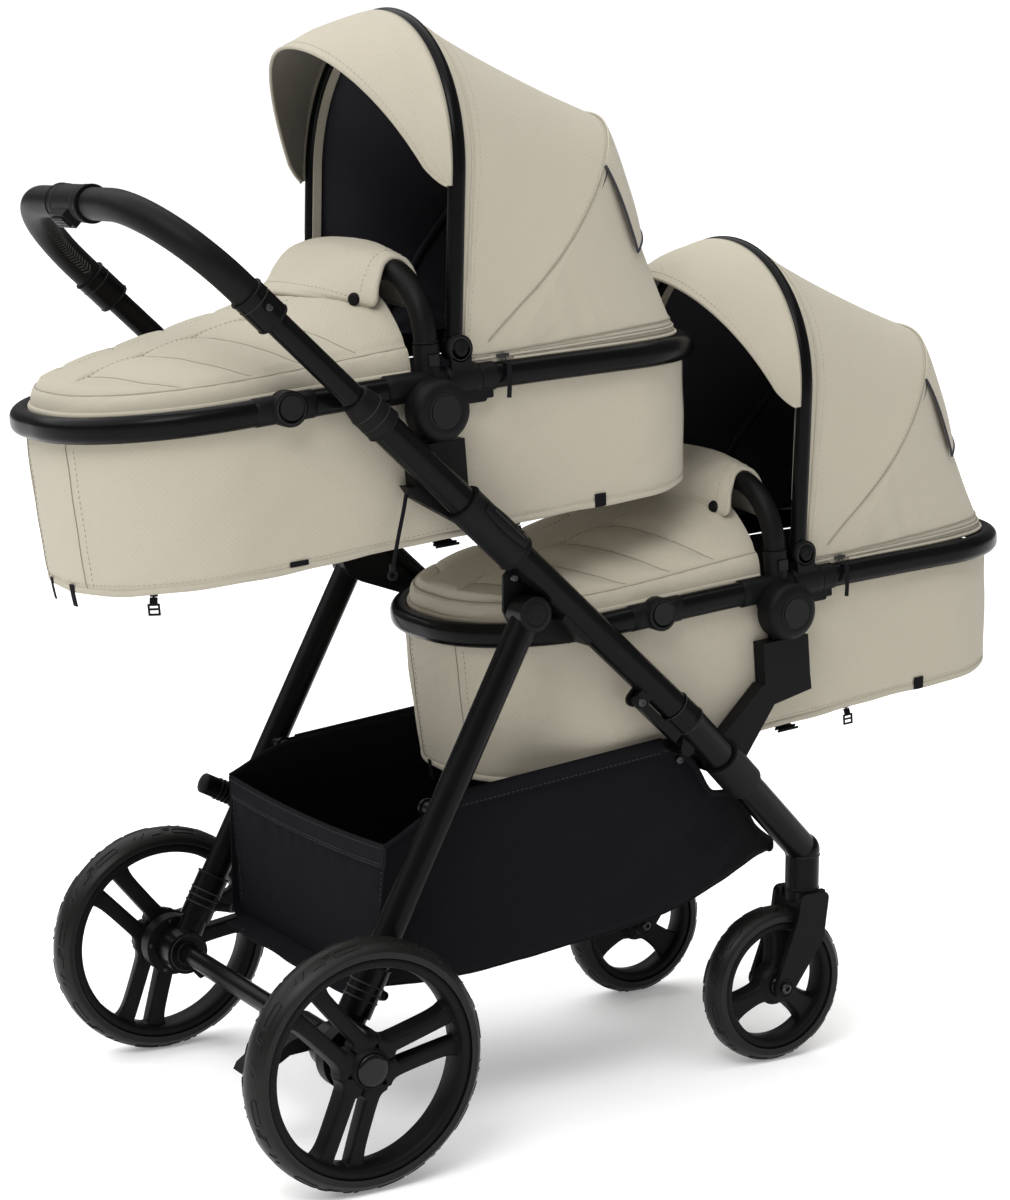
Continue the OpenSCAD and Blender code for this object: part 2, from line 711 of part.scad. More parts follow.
collar_half = 44;
trigger_w = 30;
trigger_l = 14;
trigger_h = 6;
trigger_press = 3;
housing_h = trigger_press + trigger_h;
module handle_collar() {
    color(black) row() rail_plane() translate([0, 0, handle_top]) difference() {
        union() {
            rotate([90, 0, 0]) translate([0, 0, -collar_half]) cylinder(h = 2 * collar_half, r = grip_r + 3);
            translate([-grip_r - housing_h, -trigger_w / 2 - 5, -trigger_l / 2 - 4])
                cube([housing_h, trigger_w + 10, trigger_l + 8]);
        }
        rotate([90, 0, 0]) translate([0, 0, -collar_half - 1]) cylinder(h = 2 * collar_half + 2, r = grip_r);
        translate([-grip_r - housing_h - 1, -trigger_w / 2 - gap, -trigger_l / 2 - gap])
            cube([housing_h - 1, trigger_w + 2 * gap, trigger_l + 2 * gap]);
    }
}

module handle_trigger() {
    color(satin) row() rail_plane()
        translate([-grip_r - 3 - trigger_press - trigger_h, -trigger_w / 2, handle_top - trigger_l / 2])
            cube([trigger_h, trigger_w, trigger_l]);
}

// Carrycot pieces, in the cot's frame

module rim_section() {
    square([2 * rim_r, rim_flat], center = true);
    translate([0, rim_flat / 2]) circle(r = rim_r);
    translate([0, -rim_flat / 2]) circle(r = rim_r);
}

module rim_corner(x, y, r, turn) {
    translate([x, y, rim_z]) rotate([0, 0, turn]) rotate_extrude(angle = 90, $fn = 96)
        translate([r, 0]) rim_section();
}

// Oval rim loop with the foot knuckles and the posts that hold the canopy arch
module rim(upper) {
    xf = -foot_len + foot_corner_r;
    xh = head_len - head_corner_r;
    yf = rim_half_w - foot_corner_r;
    yh = rim_half_w - head_corner_r;
    color(satin) row() cot_frame(upper) {
        difference() {
            union() {
                rim_corner(xh, yh, head_corner_r, 0);
                rim_corner(xf, yf, foot_corner_r, 90);
                rim_corner(xf, -yf, foot_corner_r, 180);
                rim_corner(xh, -yh, head_corner_r, 270);
                both_sides() translate([xf, rim_half_w, rim_z]) rotate([90, 0, 90])
                    linear_extrude(xh - xf) rim_section();
                translate([-foot_len, yf, rim_z]) rotate([90, 0, 0]) linear_extrude(2 * yf) rim_section();
                translate([head_len, yh, rim_z]) rotate([90, 0, 0]) linear_extrude(2 * yh) rim_section();
                both_sides()
                    cross_pin(knuckle_x, rim_z, rim_half_w - tub_top_in + gap, rim_out + 4, knuckle_r);
                both_sides() plate(rim_out - post_t, rim_out) {
                    translate([pivot_x, pivot_z]) circle(r = pivot_disc_r);
                    translate([pivot_x - 13, rim_z]) square([26, pivot_z - rim_z]);
                }
            }
            both_sides() cross_pin(knuckle_x, rim_z, rim_out - 3, rim_out + 5, knuckle_button_r + gap);
            both_sides() cross_pin(pivot_x, pivot_z, rim_in - 8, rim_out + 1, arch_pin_r + run_gap);
        }
    }
}

// Half section of a hub housing: a drum with a rounded outer edge
module hub_section() {
    ease_r = 12;
    square([hub_r - ease_r, hub_out - rim_out]);
    square([hub_r, hub_out - rim_out - ease_r]);
    intersection() {
        translate([hub_r - ease_r, hub_out - rim_out - ease_r]) circle(r = ease_r);
        square([hub_r, hub_out - rim_out]);
    }
}

// Hub housings on the rim with the plugs that drop into the adapters
module hubs(upper) {
    color(black) row() cot_frame(upper) both_sides() difference() {
        union() {
            translate([0, rim_out, 0]) rotate([-90, 0, 0]) rotate_extrude() hub_section();
            plate(plug_y0, hub_out - 6) polygon([
                [-24, -22], [24, -22], [30, rim_low - 0.1], [-30, rim_low - 0.1]]);
            translate([-plug_half, plug_y0, plug_low])
                cube([2 * plug_half, plug_y1 - plug_y0, -20 - plug_low]);
        }
        cross_pin(0, 0, hub_out - 9, hub_out + 1, hub_button_r + gap);
        difference() {
            translate([-hub_r, rim_out - 1, rim_low]) cube([2 * hub_r, 2, 2 * hub_r]);
            translate([-hub_r, rim_out, rim_low]) cube([2 * hub_r, 2, 2 * hub_r]);
        }
    }
}

module hub_button(upper, side) {
    color(satin) row() cot_frame(upper) on_side(side)
        cross_pin(0, 0, hub_out - 9 + button_press + 0.5, hub_out + 3, hub_button_r);
}

module knuckle_button(upper, side) {
    color(satin) row() cot_frame(upper) on_side(side)
        cross_pin(knuckle_x, rim_z, rim_out - 3 + button_press + 0.5, rim_out + 6, knuckle_button_r);
}

// Soft tub that hangs from the rim
tub_base_in = 16;
tub_waist_in = 9;
tub_top_in = 4;
module tub(upper) {
    n = 7;
    top = rim_low - 0.5;
    function waist_ring(inset, n) = [for (p = cot_outline(inset, n))
        [p[0], p[1], tub_floor(p[0]) * 0.45 + top * 0.55]];
    color(stone) row() cot_frame(upper) loft([
        cot_ring(tub_base_in, 0, n),
        cot_ring(tub_base_in - 5, 9, n),
        waist_ring(tub_waist_in, n),
        level_ring(tub_top_in, top, n),
        level_ring(tub_top_in + cloth_wall, top, n),
        waist_ring(tub_waist_in + cloth_wall, n),
        cot_ring(tub_base_in - 4 + cloth_wall, 12, n),
        cot_ring(tub_base_in + cloth_wall, cloth_wall, n)]);
}

// Mattress on the tub's floor, crowned, with sides that draw in
module mattress(upper) {
    n = 6;
    floor_up = cloth_wall + gap;
    in = tub_base_in + 2 * cloth_wall;
    thick = 34;
    function crown_ring(share, lift) = [for (p = cot_outline(in + 8, n)) let(x = p[0] * (1 + share) / 2)
        [x, p[1] * share, tub_floor(x) + lift]];
    color([0.16, 0.16, 0.17]) row() cot_frame(upper) loft([
        cot_ring(in + 6, floor_up, n),
        cot_ring(in, floor_up + 10, n),
        cot_ring(in, floor_up + 20, n),
        cot_ring(in + 8, floor_up + thick - 2, n),
        crown_ring(0.72, floor_up + thick + 3),
        crown_ring(0.4, floor_up + thick + 5)]);
}

// Apron: quilted cover from the foot up to the bumper bar, which its flap wraps
apron_foot = -foot_len + rim_r + 1;
apron_edge = rim_in - 1;
apron_t = 6;
apron_cols = 21;
apron_end = bumper_x + bumper_r + 4;
flap_from = -88;
flap_in = 54;
band_h = 20;
// Height of the apron's middle line, along the cot
function apron_mid(x) = lookup(x, [
    [apron_foot, rim_top - 2], [apron_foot + 3, rim_top + 12], [apron_foot + 7, rim_top + 19],
    [apron_foot + 20, rim_top + 30], [-249, rim_top + 52], [-127, rim_top + 72], [flap_from, rim_top + 79],
    [-70, rim_top + 95], [-60, rim_top + 102], [-48, bumper_top + 6], [-20, bumper_top + 28],
    [4, bumper_top + 32], [14, bumper_top + 29], [apron_end, bumper_top + 8]]);
// Height of its long edges, and of the band that stands on them
function apron_side(x) = lookup(x, [
    [flap_from, rim_top - 2], [-60, rim_top + 30], [-33, rim_top + 69], [-16, rim_top + 112],
    [-4, bumper_top + 21], [bumper_x, bumper_top + 22], [14, bumper_top + 18], [apron_end, bumper_top + 6]]);
function apron_band(x) = lookup(x, [
    [apron_foot, 0], [apron_foot + 3, 14], [apron_foot + 7, band_h], [flap_from, band_h], [-60, 0]]);
// Half width, round at the foot and narrower at the flap
function apron_half(x) = let(
    rf = foot_corner_r - rim_r,
    u = apron_foot + rf - x) (u > 0
        ? apron_edge - rf + sqrt(max(0, rf * rf - u * u))
        : apron_edge - flap_in * lookup(x, [[flap_from, 0], [-60, 0.56], [-33, 0.93], [apron_end, 1]]));
// Rows of the apron as [middle x, sweep of its ends towards the head, channel depth]:
// the rounded foot, sewn chevrons of three rows each, and the flap over the bumper
chevrons = 4;
chevron_from = apron_foot + 27;
chevron_pitch = 64;
channel_half = 8;
channel_depth = 3.5;
apron_rows = concat(
    [[apron_foot, 0, 0], [apron_foot + 3, 4, 0], [apron_foot + 7, 12, 0], [apron_foot + 13, 32, 0]],
    [for (k = [0:chevrons - 1], s = [-1, 0, 1]) [
        chevron_from + k * chevron_pitch + s * channel_half, 64 - 4 * k, s == 0 ? channel_depth : 0]],
    [for (x = [flap_from, -70, -60, -48, -33, -20, -8, 4, 14, apron_end]) [x, 0, 0]]);
function apron_point(r, j, drop) = let(
    t = 2 * j / (apron_cols - 1) - 1,
    q = sign(t) * (1 - pow(1 - abs(t), 1.35)),
    x = r[0] + r[1] * abs(q),
    low = apron_side(x),
    band = apron_band(x),
    sewn = abs(q) > 0.25 && abs(q) < 0.9 ? r[2] : 0)
    [x, q * apron_half(x), low + band * sqrt(max(0, 1 - pow(abs(q), 14)))
        + (apron_mid(x) - low - band) * (1 - pow(abs(q), 3.4)) - sewn - drop];
module apron(upper) {
    function grid(drop) = [for (r = apron_rows) [for (j = [0:apron_cols - 1]) apron_point(r, j, drop)]];
    color(stone) row() cot_frame(upper) sheet(grid(0), grid(apron_t));
}

// Bumper bar: foam arch in two end collars that stand on the rim
module bumper(upper) {
    side_top = bumper_top - bumper_corner_r;
    color(black) row() cot_frame(upper) {
        both_sides() difference() {
            translate([bumper_x, bumper_y, rim_z])
                cylinder(h = rim_top - rim_z + bumper_collar_h, r = bumper_r + 2);
            translate([bumper_x - 40, rim_half_w, rim_z]) rotate([90, 0, 90])
                linear_extrude(80) rim_section();
            translate([bumper_x - 40, rim_half_w - rim_r, rim_z - 1])
                cube([80, 2 * rim_r + 10, 1 + rim_flat / 2]);
            translate([bumper_x - 40, bumper_y - bumper_r - 4, rim_z - 1])
                cube([80, rim_in - bumper_y + bumper_r + 4.5, rim_top - rim_z + 1.2]);
            translate([bumper_x - bumper_button / 2 - gap, bumper_y + bumper_r - 3, rim_top + 6])
                cube([bumper_button + 2 * gap, 10, bumper_button + 2 * gap]);
        }
        both_sides() translate([bumper_x, bumper_y, rim_top + bumper_collar_h])
            cylinder(h = side_top - rim_top - bumper_collar_h, r = bumper_r);
        both_sides() translate([bumper_x, bumper_y - bumper_corner_r, side_top]) rotate([90, 0, 90])
            rotate_extrude(angle = 90) translate([bumper_corner_r, 0]) circle(r = bumper_r);
        translate([bumper_x, bumper_y - bumper_corner_r, bumper_top]) rotate([90, 0, 0])
            cylinder(h = 2 * (bumper_y - bumper_corner_r), r = bumper_r);
    }
}

module bumper_button(upper, side) {
    color(satin) row() cot_frame(upper) on_side(side)
        translate([bumper_x - bumper_button / 2, bumper_y + bumper_r - 3 + button_press + 0.3,
                rim_top + 6 + gap])
            cube([bumper_button, 4, bumper_button]);
}

// Canopy: three hoops that fan out from the pivots, with taut cloth between them
canopy_half = arch_half_w + 3;
hem_z = rim_top + 1;
hoop_n = 20;
arch_top = [pivot_x + arch_h * sin(arch_lean), pivot_z + arch_h * cos(arch_lean)];
rear_corner = [330, 304];
hem_rear = head_len - rim_r - 3;
// Point of a hoop with its feet at x = foot and its top at the place top in the side view
function hoop(v, foot, top, power) = let(
    a = 180 * v,
    c = sign(cos(a)) * pow(abs(cos(a)), power),
    s = pow(sin(a), power))
    [foot + (top[0] - foot) * s, canopy_half * c, hem_z + (top[1] - hem_z) * s];
// One row of cloth points: f runs from the hem (0) over the rear hoop (1) to the arch (2)
function canopy_row(f, depth) = let(
    a = [for (i = [0:hoop_n]) hoop(i / hoop_n, 62, arch_top + [6, 2], 0.8)],
    c = [for (i = [0:hoop_n]) hoop(i / hoop_n, 112, rear_corner, 0.72)],
    b = [for (i = [0:hoop_n]) hoop(i / hoop_n, 172, [hem_rear, hem_z + 2], 0.62)],
    heart = [200, 0, hem_z - 40])
    [for (i = [0:hoop_n]) let(
        p = f < 1 ? b[i] + (c[i] - b[i]) * f : c[i] + (a[i] - c[i]) * (f - 1),
        q = p + depth * (heart - p) / norm(heart - p))
        [q[0], q[1], max(q[2], hem_z)]];
module canopy(upper) {
    rows = [0, 0.33, 0.67, 1, 1.33, 1.67, 1.94];
    color(stone) row() cot_frame(upper)
        sheet([for (f = rows) canopy_row(f, 0)], [for (f = rows) canopy_row(f, canopy_wall)]);
}

// Arch tube that turns on the rim's posts and carries the visor
module canopy_arch(upper) {
    straight = arch_h - arch_half_w;
    color(black) row() cot_frame(upper) translate([pivot_x, 0, pivot_z]) rotate([0, arch_lean, 0]) {
        both_sides() translate([0, arch_half_w, 0]) cylinder(h = straight, r = arch_r);
        translate([0, 0, straight]) rotate([90, 0, 90]) rotate_extrude(angle = 180)
            translate([arch_half_w, 0]) circle(r = arch_r);
        both_sides() cross_pin(0, 0, arch_half_w - 6, rim_out - post_t - gap, pivot_disc_r - 2);
        both_sides() cross_pin(0, 0, rim_out - post_t - gap - 1, rim_out + 2, arch_pin_r);
    }
}

// Visor: a stiffened cloth brim in front of the arch, from one leg over the top to the other
module visor(upper) {
    n = 20;
    m = 4;
    past = 10;
    slope = 0.26;
    droop = 0.0014;
    taper = 0.003;
    thick = 3;
    straight = arch_h - arch_half_w;
    function along(a, r) = a < 0 ? [r, straight + a / 180 * PI * r]
        : a > 180 ? [-r, straight - (a - 180) / 180 * PI * r]
        : [r * cos(a), straight + r * sin(a)];
    function reach(a) = visor_share * arch_h
        * pow(max(0.04, sin(90 * (min(a, 180 - a) + past) / (90 + past))), 1.3);
    function line(r) = [for (k = [0:m]) [for (i = [0:n]) let(
        a = -past + (180 + 2 * past) * i / n,
        p = along(a, r),
        d = reach(a) * k / m)
        [-arch_r - 0.5 - d, p[0] * (1 - taper * d), p[1] - d * (slope + droop * d) * max(0, sin(a))]]];
    color(stone) row() cot_frame(upper) translate([pivot_x, 0, pivot_z]) rotate([0, arch_lean, 0])
        sheet(line(arch_half_w + arch_r - 2), line(arch_half_w + arch_r - 2 - thick));
}

rail(1);  // rail_left
rail(-1);  // rail_right
rail_fittings();
upper_adapters();
handle_tubes();
handle_grip();
handle_collar();
handle_trigger();
lower_rail(1);  // lower_rail_left
lower_rail(-1);  // lower_rail_right
front_crossbar();
lower_adapters();
fold_links();
basket();
rear_leg(1);  // rear_leg_left
rear_leg(-1);  // rear_leg_right
rear_axle();
brake_drums();
brake_pedal();
rear_rim(1);  // rear_rim_left
rear_tyre(1);  // rear_tyre_left
rear_rim(-1);  // rear_rim_right
rear_tyre(-1);  // rear_tyre_right
caster_fork(1);  // caster_fork_left
front_rim(1);  // front_rim_left
front_tyre(1);  // front_tyre_left
caster_fork(-1);  // caster_fork_right
front_rim(-1);  // front_rim_right
front_tyre(-1);  // front_tyre_right
rim(true);  // upper_rim
hubs(true);  // upper_hubs
tub(true);  // upper_tub
mattress(true);  // upper_mattress
apron(true);  // upper_apron
bumper(true);  // upper_bumper
canopy(true);  // upper_canopy
canopy_arch(true);  // upper_canopy_arch
visor(true);  // upper_visor
hub_button(true, 1);  // upper_hub_button_left
hub_button(true, -1);  // upper_hub_button_right
knuckle_button(true, 1);  // upper_knuckle_button_left
knuckle_button(true, -1);  // upper_knuckle_button_right
bumper_button(true, 1);  // upper_bumper_button_left
bumper_button(true, -1);  // upper_bumper_button_right
rim(false);  // lower_rim
hubs(false);  // lower_hubs
tub(false);  // lower_tub
mattress(false);  // lower_mattress
apron(false);  // lower_apron
bumper(false);  // lower_bumper
canopy(false);  // lower_canopy
canopy_arch(false);  // lower_canopy_arch
visor(false);  // lower_visor
hub_button(false, 1);  // lower_hub_button_left
hub_button(false, -1);  // lower_hub_button_right
knuckle_button(false, 1);  // lower_knuckle_button_left
knuckle_button(false, -1);  // lower_knuckle_button_right
bumper_button(false, 1);  // lower_bumper_button_left
bumper_button(false, -1);  // lower_bumper_button_right
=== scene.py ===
"""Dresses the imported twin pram: cloth, padding, trim, finishes and a plain studio."""

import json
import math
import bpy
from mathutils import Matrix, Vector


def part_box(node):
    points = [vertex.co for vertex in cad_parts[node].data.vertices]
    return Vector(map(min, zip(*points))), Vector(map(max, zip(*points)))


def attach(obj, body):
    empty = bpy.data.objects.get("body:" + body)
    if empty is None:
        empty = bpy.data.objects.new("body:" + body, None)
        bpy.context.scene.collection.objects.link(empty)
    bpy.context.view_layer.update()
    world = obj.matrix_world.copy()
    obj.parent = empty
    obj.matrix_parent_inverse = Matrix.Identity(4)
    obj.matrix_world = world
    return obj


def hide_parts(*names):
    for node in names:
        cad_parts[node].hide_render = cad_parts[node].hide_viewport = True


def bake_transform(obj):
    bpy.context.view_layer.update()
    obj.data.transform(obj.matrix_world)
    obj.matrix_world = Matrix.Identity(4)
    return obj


bl_info = {
    "name": "Twin pram dresser",
    "version": (1, 0, 0),
    "blender": (4, 5, 0),
    "location": "View3D > Sidebar > Twin pram",
    "description": "Builds the soft goods, trim, finishes and studio of a tandem twin pram",
    "category": "Add Mesh",
}

import bmesh
import bpy
import numpy as np
from bpy.props import FloatProperty, FloatVectorProperty, IntProperty, PointerProperty
from bpy.types import Operator, Panel, PropertyGroup

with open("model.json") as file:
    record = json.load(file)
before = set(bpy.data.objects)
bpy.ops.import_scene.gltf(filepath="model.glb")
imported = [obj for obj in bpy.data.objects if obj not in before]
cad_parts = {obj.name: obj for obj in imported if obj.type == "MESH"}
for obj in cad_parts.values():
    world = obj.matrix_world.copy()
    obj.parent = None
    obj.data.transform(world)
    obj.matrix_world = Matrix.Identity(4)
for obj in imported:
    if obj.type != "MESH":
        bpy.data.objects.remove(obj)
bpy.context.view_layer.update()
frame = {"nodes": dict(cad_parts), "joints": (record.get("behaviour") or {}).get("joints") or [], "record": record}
MM = 0.001
ACROSS = np.array((0.0, 1.0, 0.0))

# Sizes of the carrycots in their own frame, in millimetres from the hub, as the solids have them
RIM_HALF = 182
RIM_R = 12
RIM_FLAT = 3
RIM_Z = 26
RIM_TOP = RIM_Z + RIM_R + RIM_FLAT
RIM_LOW = RIM_Z - RIM_R - RIM_FLAT
FOOT_LEN = 392
HEAD_LEN = 415
FOOT_CORNER = 165
HEAD_CORNER = 140
FOOT_DEPTH = 190
HEAD_DEPTH = 168
BOW = 8
TUB_MID = 10
PAD_LOW = 4.6
PAD_EDGE = 35
APRON_FOOT = -379
APRON_BACK = -10
APRON_EDGE = 169
FOOT_ARC = 153
BAND_IN = 7
BAND_UP = 20
PANEL_HALF = 41
CHANNELS = 4
CHANNEL_FROM = -334
CHANNEL_PITCH = 64
KNUCKLE_X = -174
KNUCKLE_WELL = 17
WELL_WALL = 8.6
BUMPER_X = 6
BUMPER_Y = 179
BUMPER_R = 13
BUMPER_TOP = 152
BUMPER_CORNER = 76
PIVOT = (42, 62)
PIVOT_FACE = 194
KNUCKLE_FACE = 198
HUB_FACE = 224
ARCH_HALF = 177
ARCH_R = 10
ARCH_H = 369
ARCH_LEAN = math.radians(6.5)
HEM_Z = RIM_TOP - 1
CANOPY_HALF = 180
CANOPY_HEART = np.array((200.0, 0.0, 2.0))

# Hoops of the canopy: x of their feet, x and z of their tops, and how square they are
HEM_HOOP = (172, (HEAD_LEN - RIM_R - 3, HEM_Z + 2), 0.62)
REAR_HOOP = (112, (330, 304), 0.72)
ARCH_TOP = (PIVOT[0] + ARCH_H * math.sin(ARCH_LEAN), PIVOT[1] + ARCH_H * math.cos(ARCH_LEAN))
ARCH_HOOP = (62, (ARCH_TOP[0] + 6, ARCH_TOP[1] + 2), 0.8)

# Sizes of the frame, in millimetres in the row frame
BUTT = np.array((59.31, 0.0, 491.0))
RAIL_Y = 218
GRIP_R = 17.5
GRIP_LOW = 744
HANDLE_TOP = 877
HANDLE_CORNER = 122
COLLAR_HALF = 44
ROW_MID = 390.69
REAR_AXLE_Z = 145
BAG_REAR = 56
BAG_FRONT = 668
BAG_CORNER = 16
LINK_Y = 186
LINK_FACE = 184
LINK_REAR = (133.2, 400)
LINK_FRONT = (473, 436)
LEG_FACE = 235
DRUM_FACE = 236
PEG_Z = 326
STEM = (691, 159)

# Stitches as length and radius, in metres
FINE_STITCH = (0.0036, 0.0004)
FOOT_STITCH = (0.0036, 0.00042)
QUILT_STITCH = (0.0037, 0.00045)
BASKET_STITCH = (0.0036, 0.00045)
LEATHER_STITCH = (0.004, 0.0005)

# Finishes of pieces that have several; the last, stone at 0.6 of its colour, is painted shade in sunken seam lines
# and edges
SEAM_FINISHES = ["stone_trim", "stone_thread", "stone_seam_shade"]
FITTING_FINISHES = ["plastic", "steel", "groove"]

# Scale of a wave texture whose diagonal bands lie a metre apart
METRE_WAVE = 0.628


# Settings

COLOUR = {"subtype": "COLOR", "size": 3, "min": 0, "max": 1}


class ClothSettings(PropertyGroup):
    """Colours and sewing of the soft goods."""

    stone: FloatVectorProperty(
        name="Stone fabric", description="Colour of the tubs, aprons and canopies",
        default=(0.425, 0.389, 0.312), **COLOUR)
    lining: FloatVectorProperty(
        name="Lining", description="Colour of the canopies' and tubs' lining",
        default=(0.042, 0.04, 0.048), **COLOUR)
    mattress: FloatVectorProperty(
        name="Mattress", description="Colour of the mattress covers",
        default=(0.03, 0.03, 0.033), **COLOUR)
    basket: FloatVectorProperty(
        name="Basket", description="Colour of the basket's nylon",
        default=(0.006, 0.0056, 0.007), **COLOUR)
    weave: FloatProperty(
        name="Weave", description="Pitch of the diagonal weave",
        unit="LENGTH", min=0.0005, default=0.0017)
    dots: FloatProperty(
        name="Dots", description="Pitch of the rows of small dots in the stone fabric",
        unit="LENGTH", min=0.002, default=0.0062)
    puff: FloatProperty(
        name="Quilt puff", description="How far the apron swells between its channels",
        unit="LENGTH", min=0, default=0.0036)
    sag: FloatProperty(
        name="Canopy sag", description="How far the canopy's cloth draws in between its hoops",
        unit="LENGTH", min=0, default=0.006)
    piping: FloatProperty(
        name="Piping", description="Radius of the piping round the sewn edges",
        unit="LENGTH", min=0.0004, default=0.0013)
    stitch: FloatProperty(
        name="Stitch pitch", description="From one stitch to the next",
        unit="LENGTH", min=0.002, default=0.0062)


class FrameSettings(PropertyGroup):
    """Colours of the frame and its fittings."""

    tube: FloatVectorProperty(
        name="Tube", description="Colour of the painted tubes",
        default=(0.0032, 0.0032, 0.0034), **COLOUR)
    plastic: FloatVectorProperty(
        name="Plastic", description="Colour of the moulded fittings",
        default=(0.0048, 0.0048, 0.0051), **COLOUR)
    button: FloatVectorProperty(
        name="Buttons", description="Colour of the buttons and caps",
        default=(0.0065, 0.0065, 0.0068), **COLOUR)
    leather: FloatVectorProperty(
        name="Leather", description="Colour of the handle's and bumpers' covers",
        default=(0.0042, 0.004, 0.0039), **COLOUR)
    rubber: FloatVectorProperty(
        name="Rubber", description="Colour of the tyres",
        default=(0.0066, 0.0064, 0.006), **COLOUR)
    edge: FloatProperty(
        name="Edge", description="Radius to which moulded edges are eased",
        unit="LENGTH", min=0, default=0.0014)


class WheelSettings(PropertyGroup):
    """Tread of the tyres and turn of the spokes."""

    marks: IntProperty(
        name="Tread marks", description="How often the tread's figure repeats round a tyre",
        min=3, default=8)
    rib: FloatProperty(
        name="Tread rib", description="Radius of the raised lines on the tyre's shoulders",
        unit="LENGTH", min=0.0002, default=0.0009)
    rear_turn: FloatProperty(
        name="Rear spokes", description="Turn of the rear wheels' spokes",
        subtype="ANGLE", default=math.radians(12))
    front_turn: FloatProperty(
        name="Front spokes", description="Turn of the front wheels' spokes",
        subtype="ANGLE", default=math.radians(82))


class StudioSettings(PropertyGroup):
    """Floor, light and camera."""

    floor: FloatVectorProperty(
        name="Floor", description="Colour of the floor",
        default=(0.9, 0.9, 0.9), **COLOUR)
    glow: FloatProperty(
        name="Floor glow", description="Light that the floor gives off, which lifts the shadows",
        min=0, default=0.22)
    sky: FloatProperty(
        name="Sky", description="Strength of the even light from all round", min=0, default=0.41)
    mirror: FloatProperty(
        name="Mirrored sky", description="Strength of that light as glossy surfaces mirror it",
        min=0, default=0.15)
    key: FloatProperty(
        name="Key light", description="Power of the large light from above the handle",
        unit="POWER", min=0, default=38)
    fill: FloatProperty(
        name="Fill light", description="Power of the lights from the right and from behind",
        unit="POWER", min=0, default=2)
    sun: FloatProperty(
        name="Sun", description="Strength of the soft light straight from above", min=0, default=3.4)
    camera: FloatVectorProperty(
        name="Camera", description="Place of the camera",
        subtype="TRANSLATION", size=3, default=(-1.68792, -2.77884, 1.15209))
    azimuth: FloatProperty(
        name="Azimuth", description="Turn of the camera about the upright",
        subtype="ANGLE", default=math.radians(-30.6585))
    elevation: FloatProperty(
        name="Elevation", description="How far the camera looks down",
        subtype="ANGLE", default=math.radians(10.5579))
    lens: FloatProperty(
        name="Lens", description="Focal length", subtype="DISTANCE_CAMERA", min=1, default=79.9)
    shift: FloatVectorProperty(
        name="Shift", description="Shift of the lens that frames the photograph",
        size=2, default=(-0.0016, 0.0296))


class TwinPramSettings(PropertyGroup):
    """All that a user may change."""

    cloth: PointerProperty(type=ClothSettings, name="Cloth", description="Soft goods")
    tubes: PointerProperty(type=FrameSettings, name="Frame", description="Frame and fittings")
    wheels: PointerProperty(type=WheelSettings, name="Wheels", description="Wheels and tyres")
    studio: PointerProperty(type=StudioSettings, name="Studio", description="Floor, light and camera")


def settings():
    """What the user has set in this scene."""
    return bpy.context.scene.twin_pram


# Finishes

def put(tree, kind, inputs=None, **fields):
    """Adds a node; an input is given a value, or joined to a socket."""
    node = tree.nodes.new(kind)
    for field, value in fields.items():
        setattr(node, field, value)
    for name, value in (inputs or {}).items():
        if isinstance(value, bpy.types.NodeSocket):
            tree.links.new(value, node.inputs[name])
        else:
            node.inputs[name].default_value = value
    return node


def new_finish(name, roughness, **sockets):
    """A material with one shader; sockets that are the same all over are set on it."""
    material = bpy.data.materials.new(name)
    material.use_nodes = True
    tree = material.node_tree
    tree.nodes.clear()
    shader = put(tree, "ShaderNodeBsdfPrincipled", {"Roughness": roughness, **sockets})
    out = put(tree, "ShaderNodeOutputMaterial")
    tree.links.new(shader.outputs["BSDF"], out.inputs["Surface"])
    return material, tree, shader


def rgba(colour, gain=1.0):
    """A colour times a gain, as a socket takes it."""
    return (*(min(1.0, c * gain) for c in colour), 1.0)


def tint(tree, factor, colour, low, high):
    """Colour that runs from low to high times itself with the factor."""
    mix = put(tree, "ShaderNodeMix", {"Factor": factor}, data_type="RGBA")
    mix.inputs["A"].default_value = rgba(colour, low)
    mix.inputs["B"].default_value = rgba(colour, high)
    return next(s for s in mix.outputs if s.type == "RGBA")


def spread(tree, value, low, high):
    """Brings a texture's 0 to 1 into another range."""
    node = put(tree, "ShaderNodeMapRange", {"Value": value, "To Min": low, "To Max": high})
    return node.outputs["Result"]


def add(tree, a, b, gain):
    """a plus gain times b."""
    return put(tree, "ShaderNodeMath", {0: b, 1: gain, 2: a}, operation="MULTIPLY_ADD").outputs[0]


def noise(tree, lay, scale, detail):
    """Uneven grey from 0 to 1."""
    return put(tree, "ShaderNodeTexNoise", {"Vector": lay, "Scale": scale, "Detail": detail}).outputs["Fac"]


def bands(tree, lay, pitch, way="DIAGONAL", **inputs):
    """Even bands at a pitch in metres."""
    node = put(tree, "ShaderNodeTexWave", {"Vector": lay, "Scale": METRE_WAVE / pitch, **inputs},
               wave_type="BANDS", bands_direction=way)
    return node.outputs["Fac"]


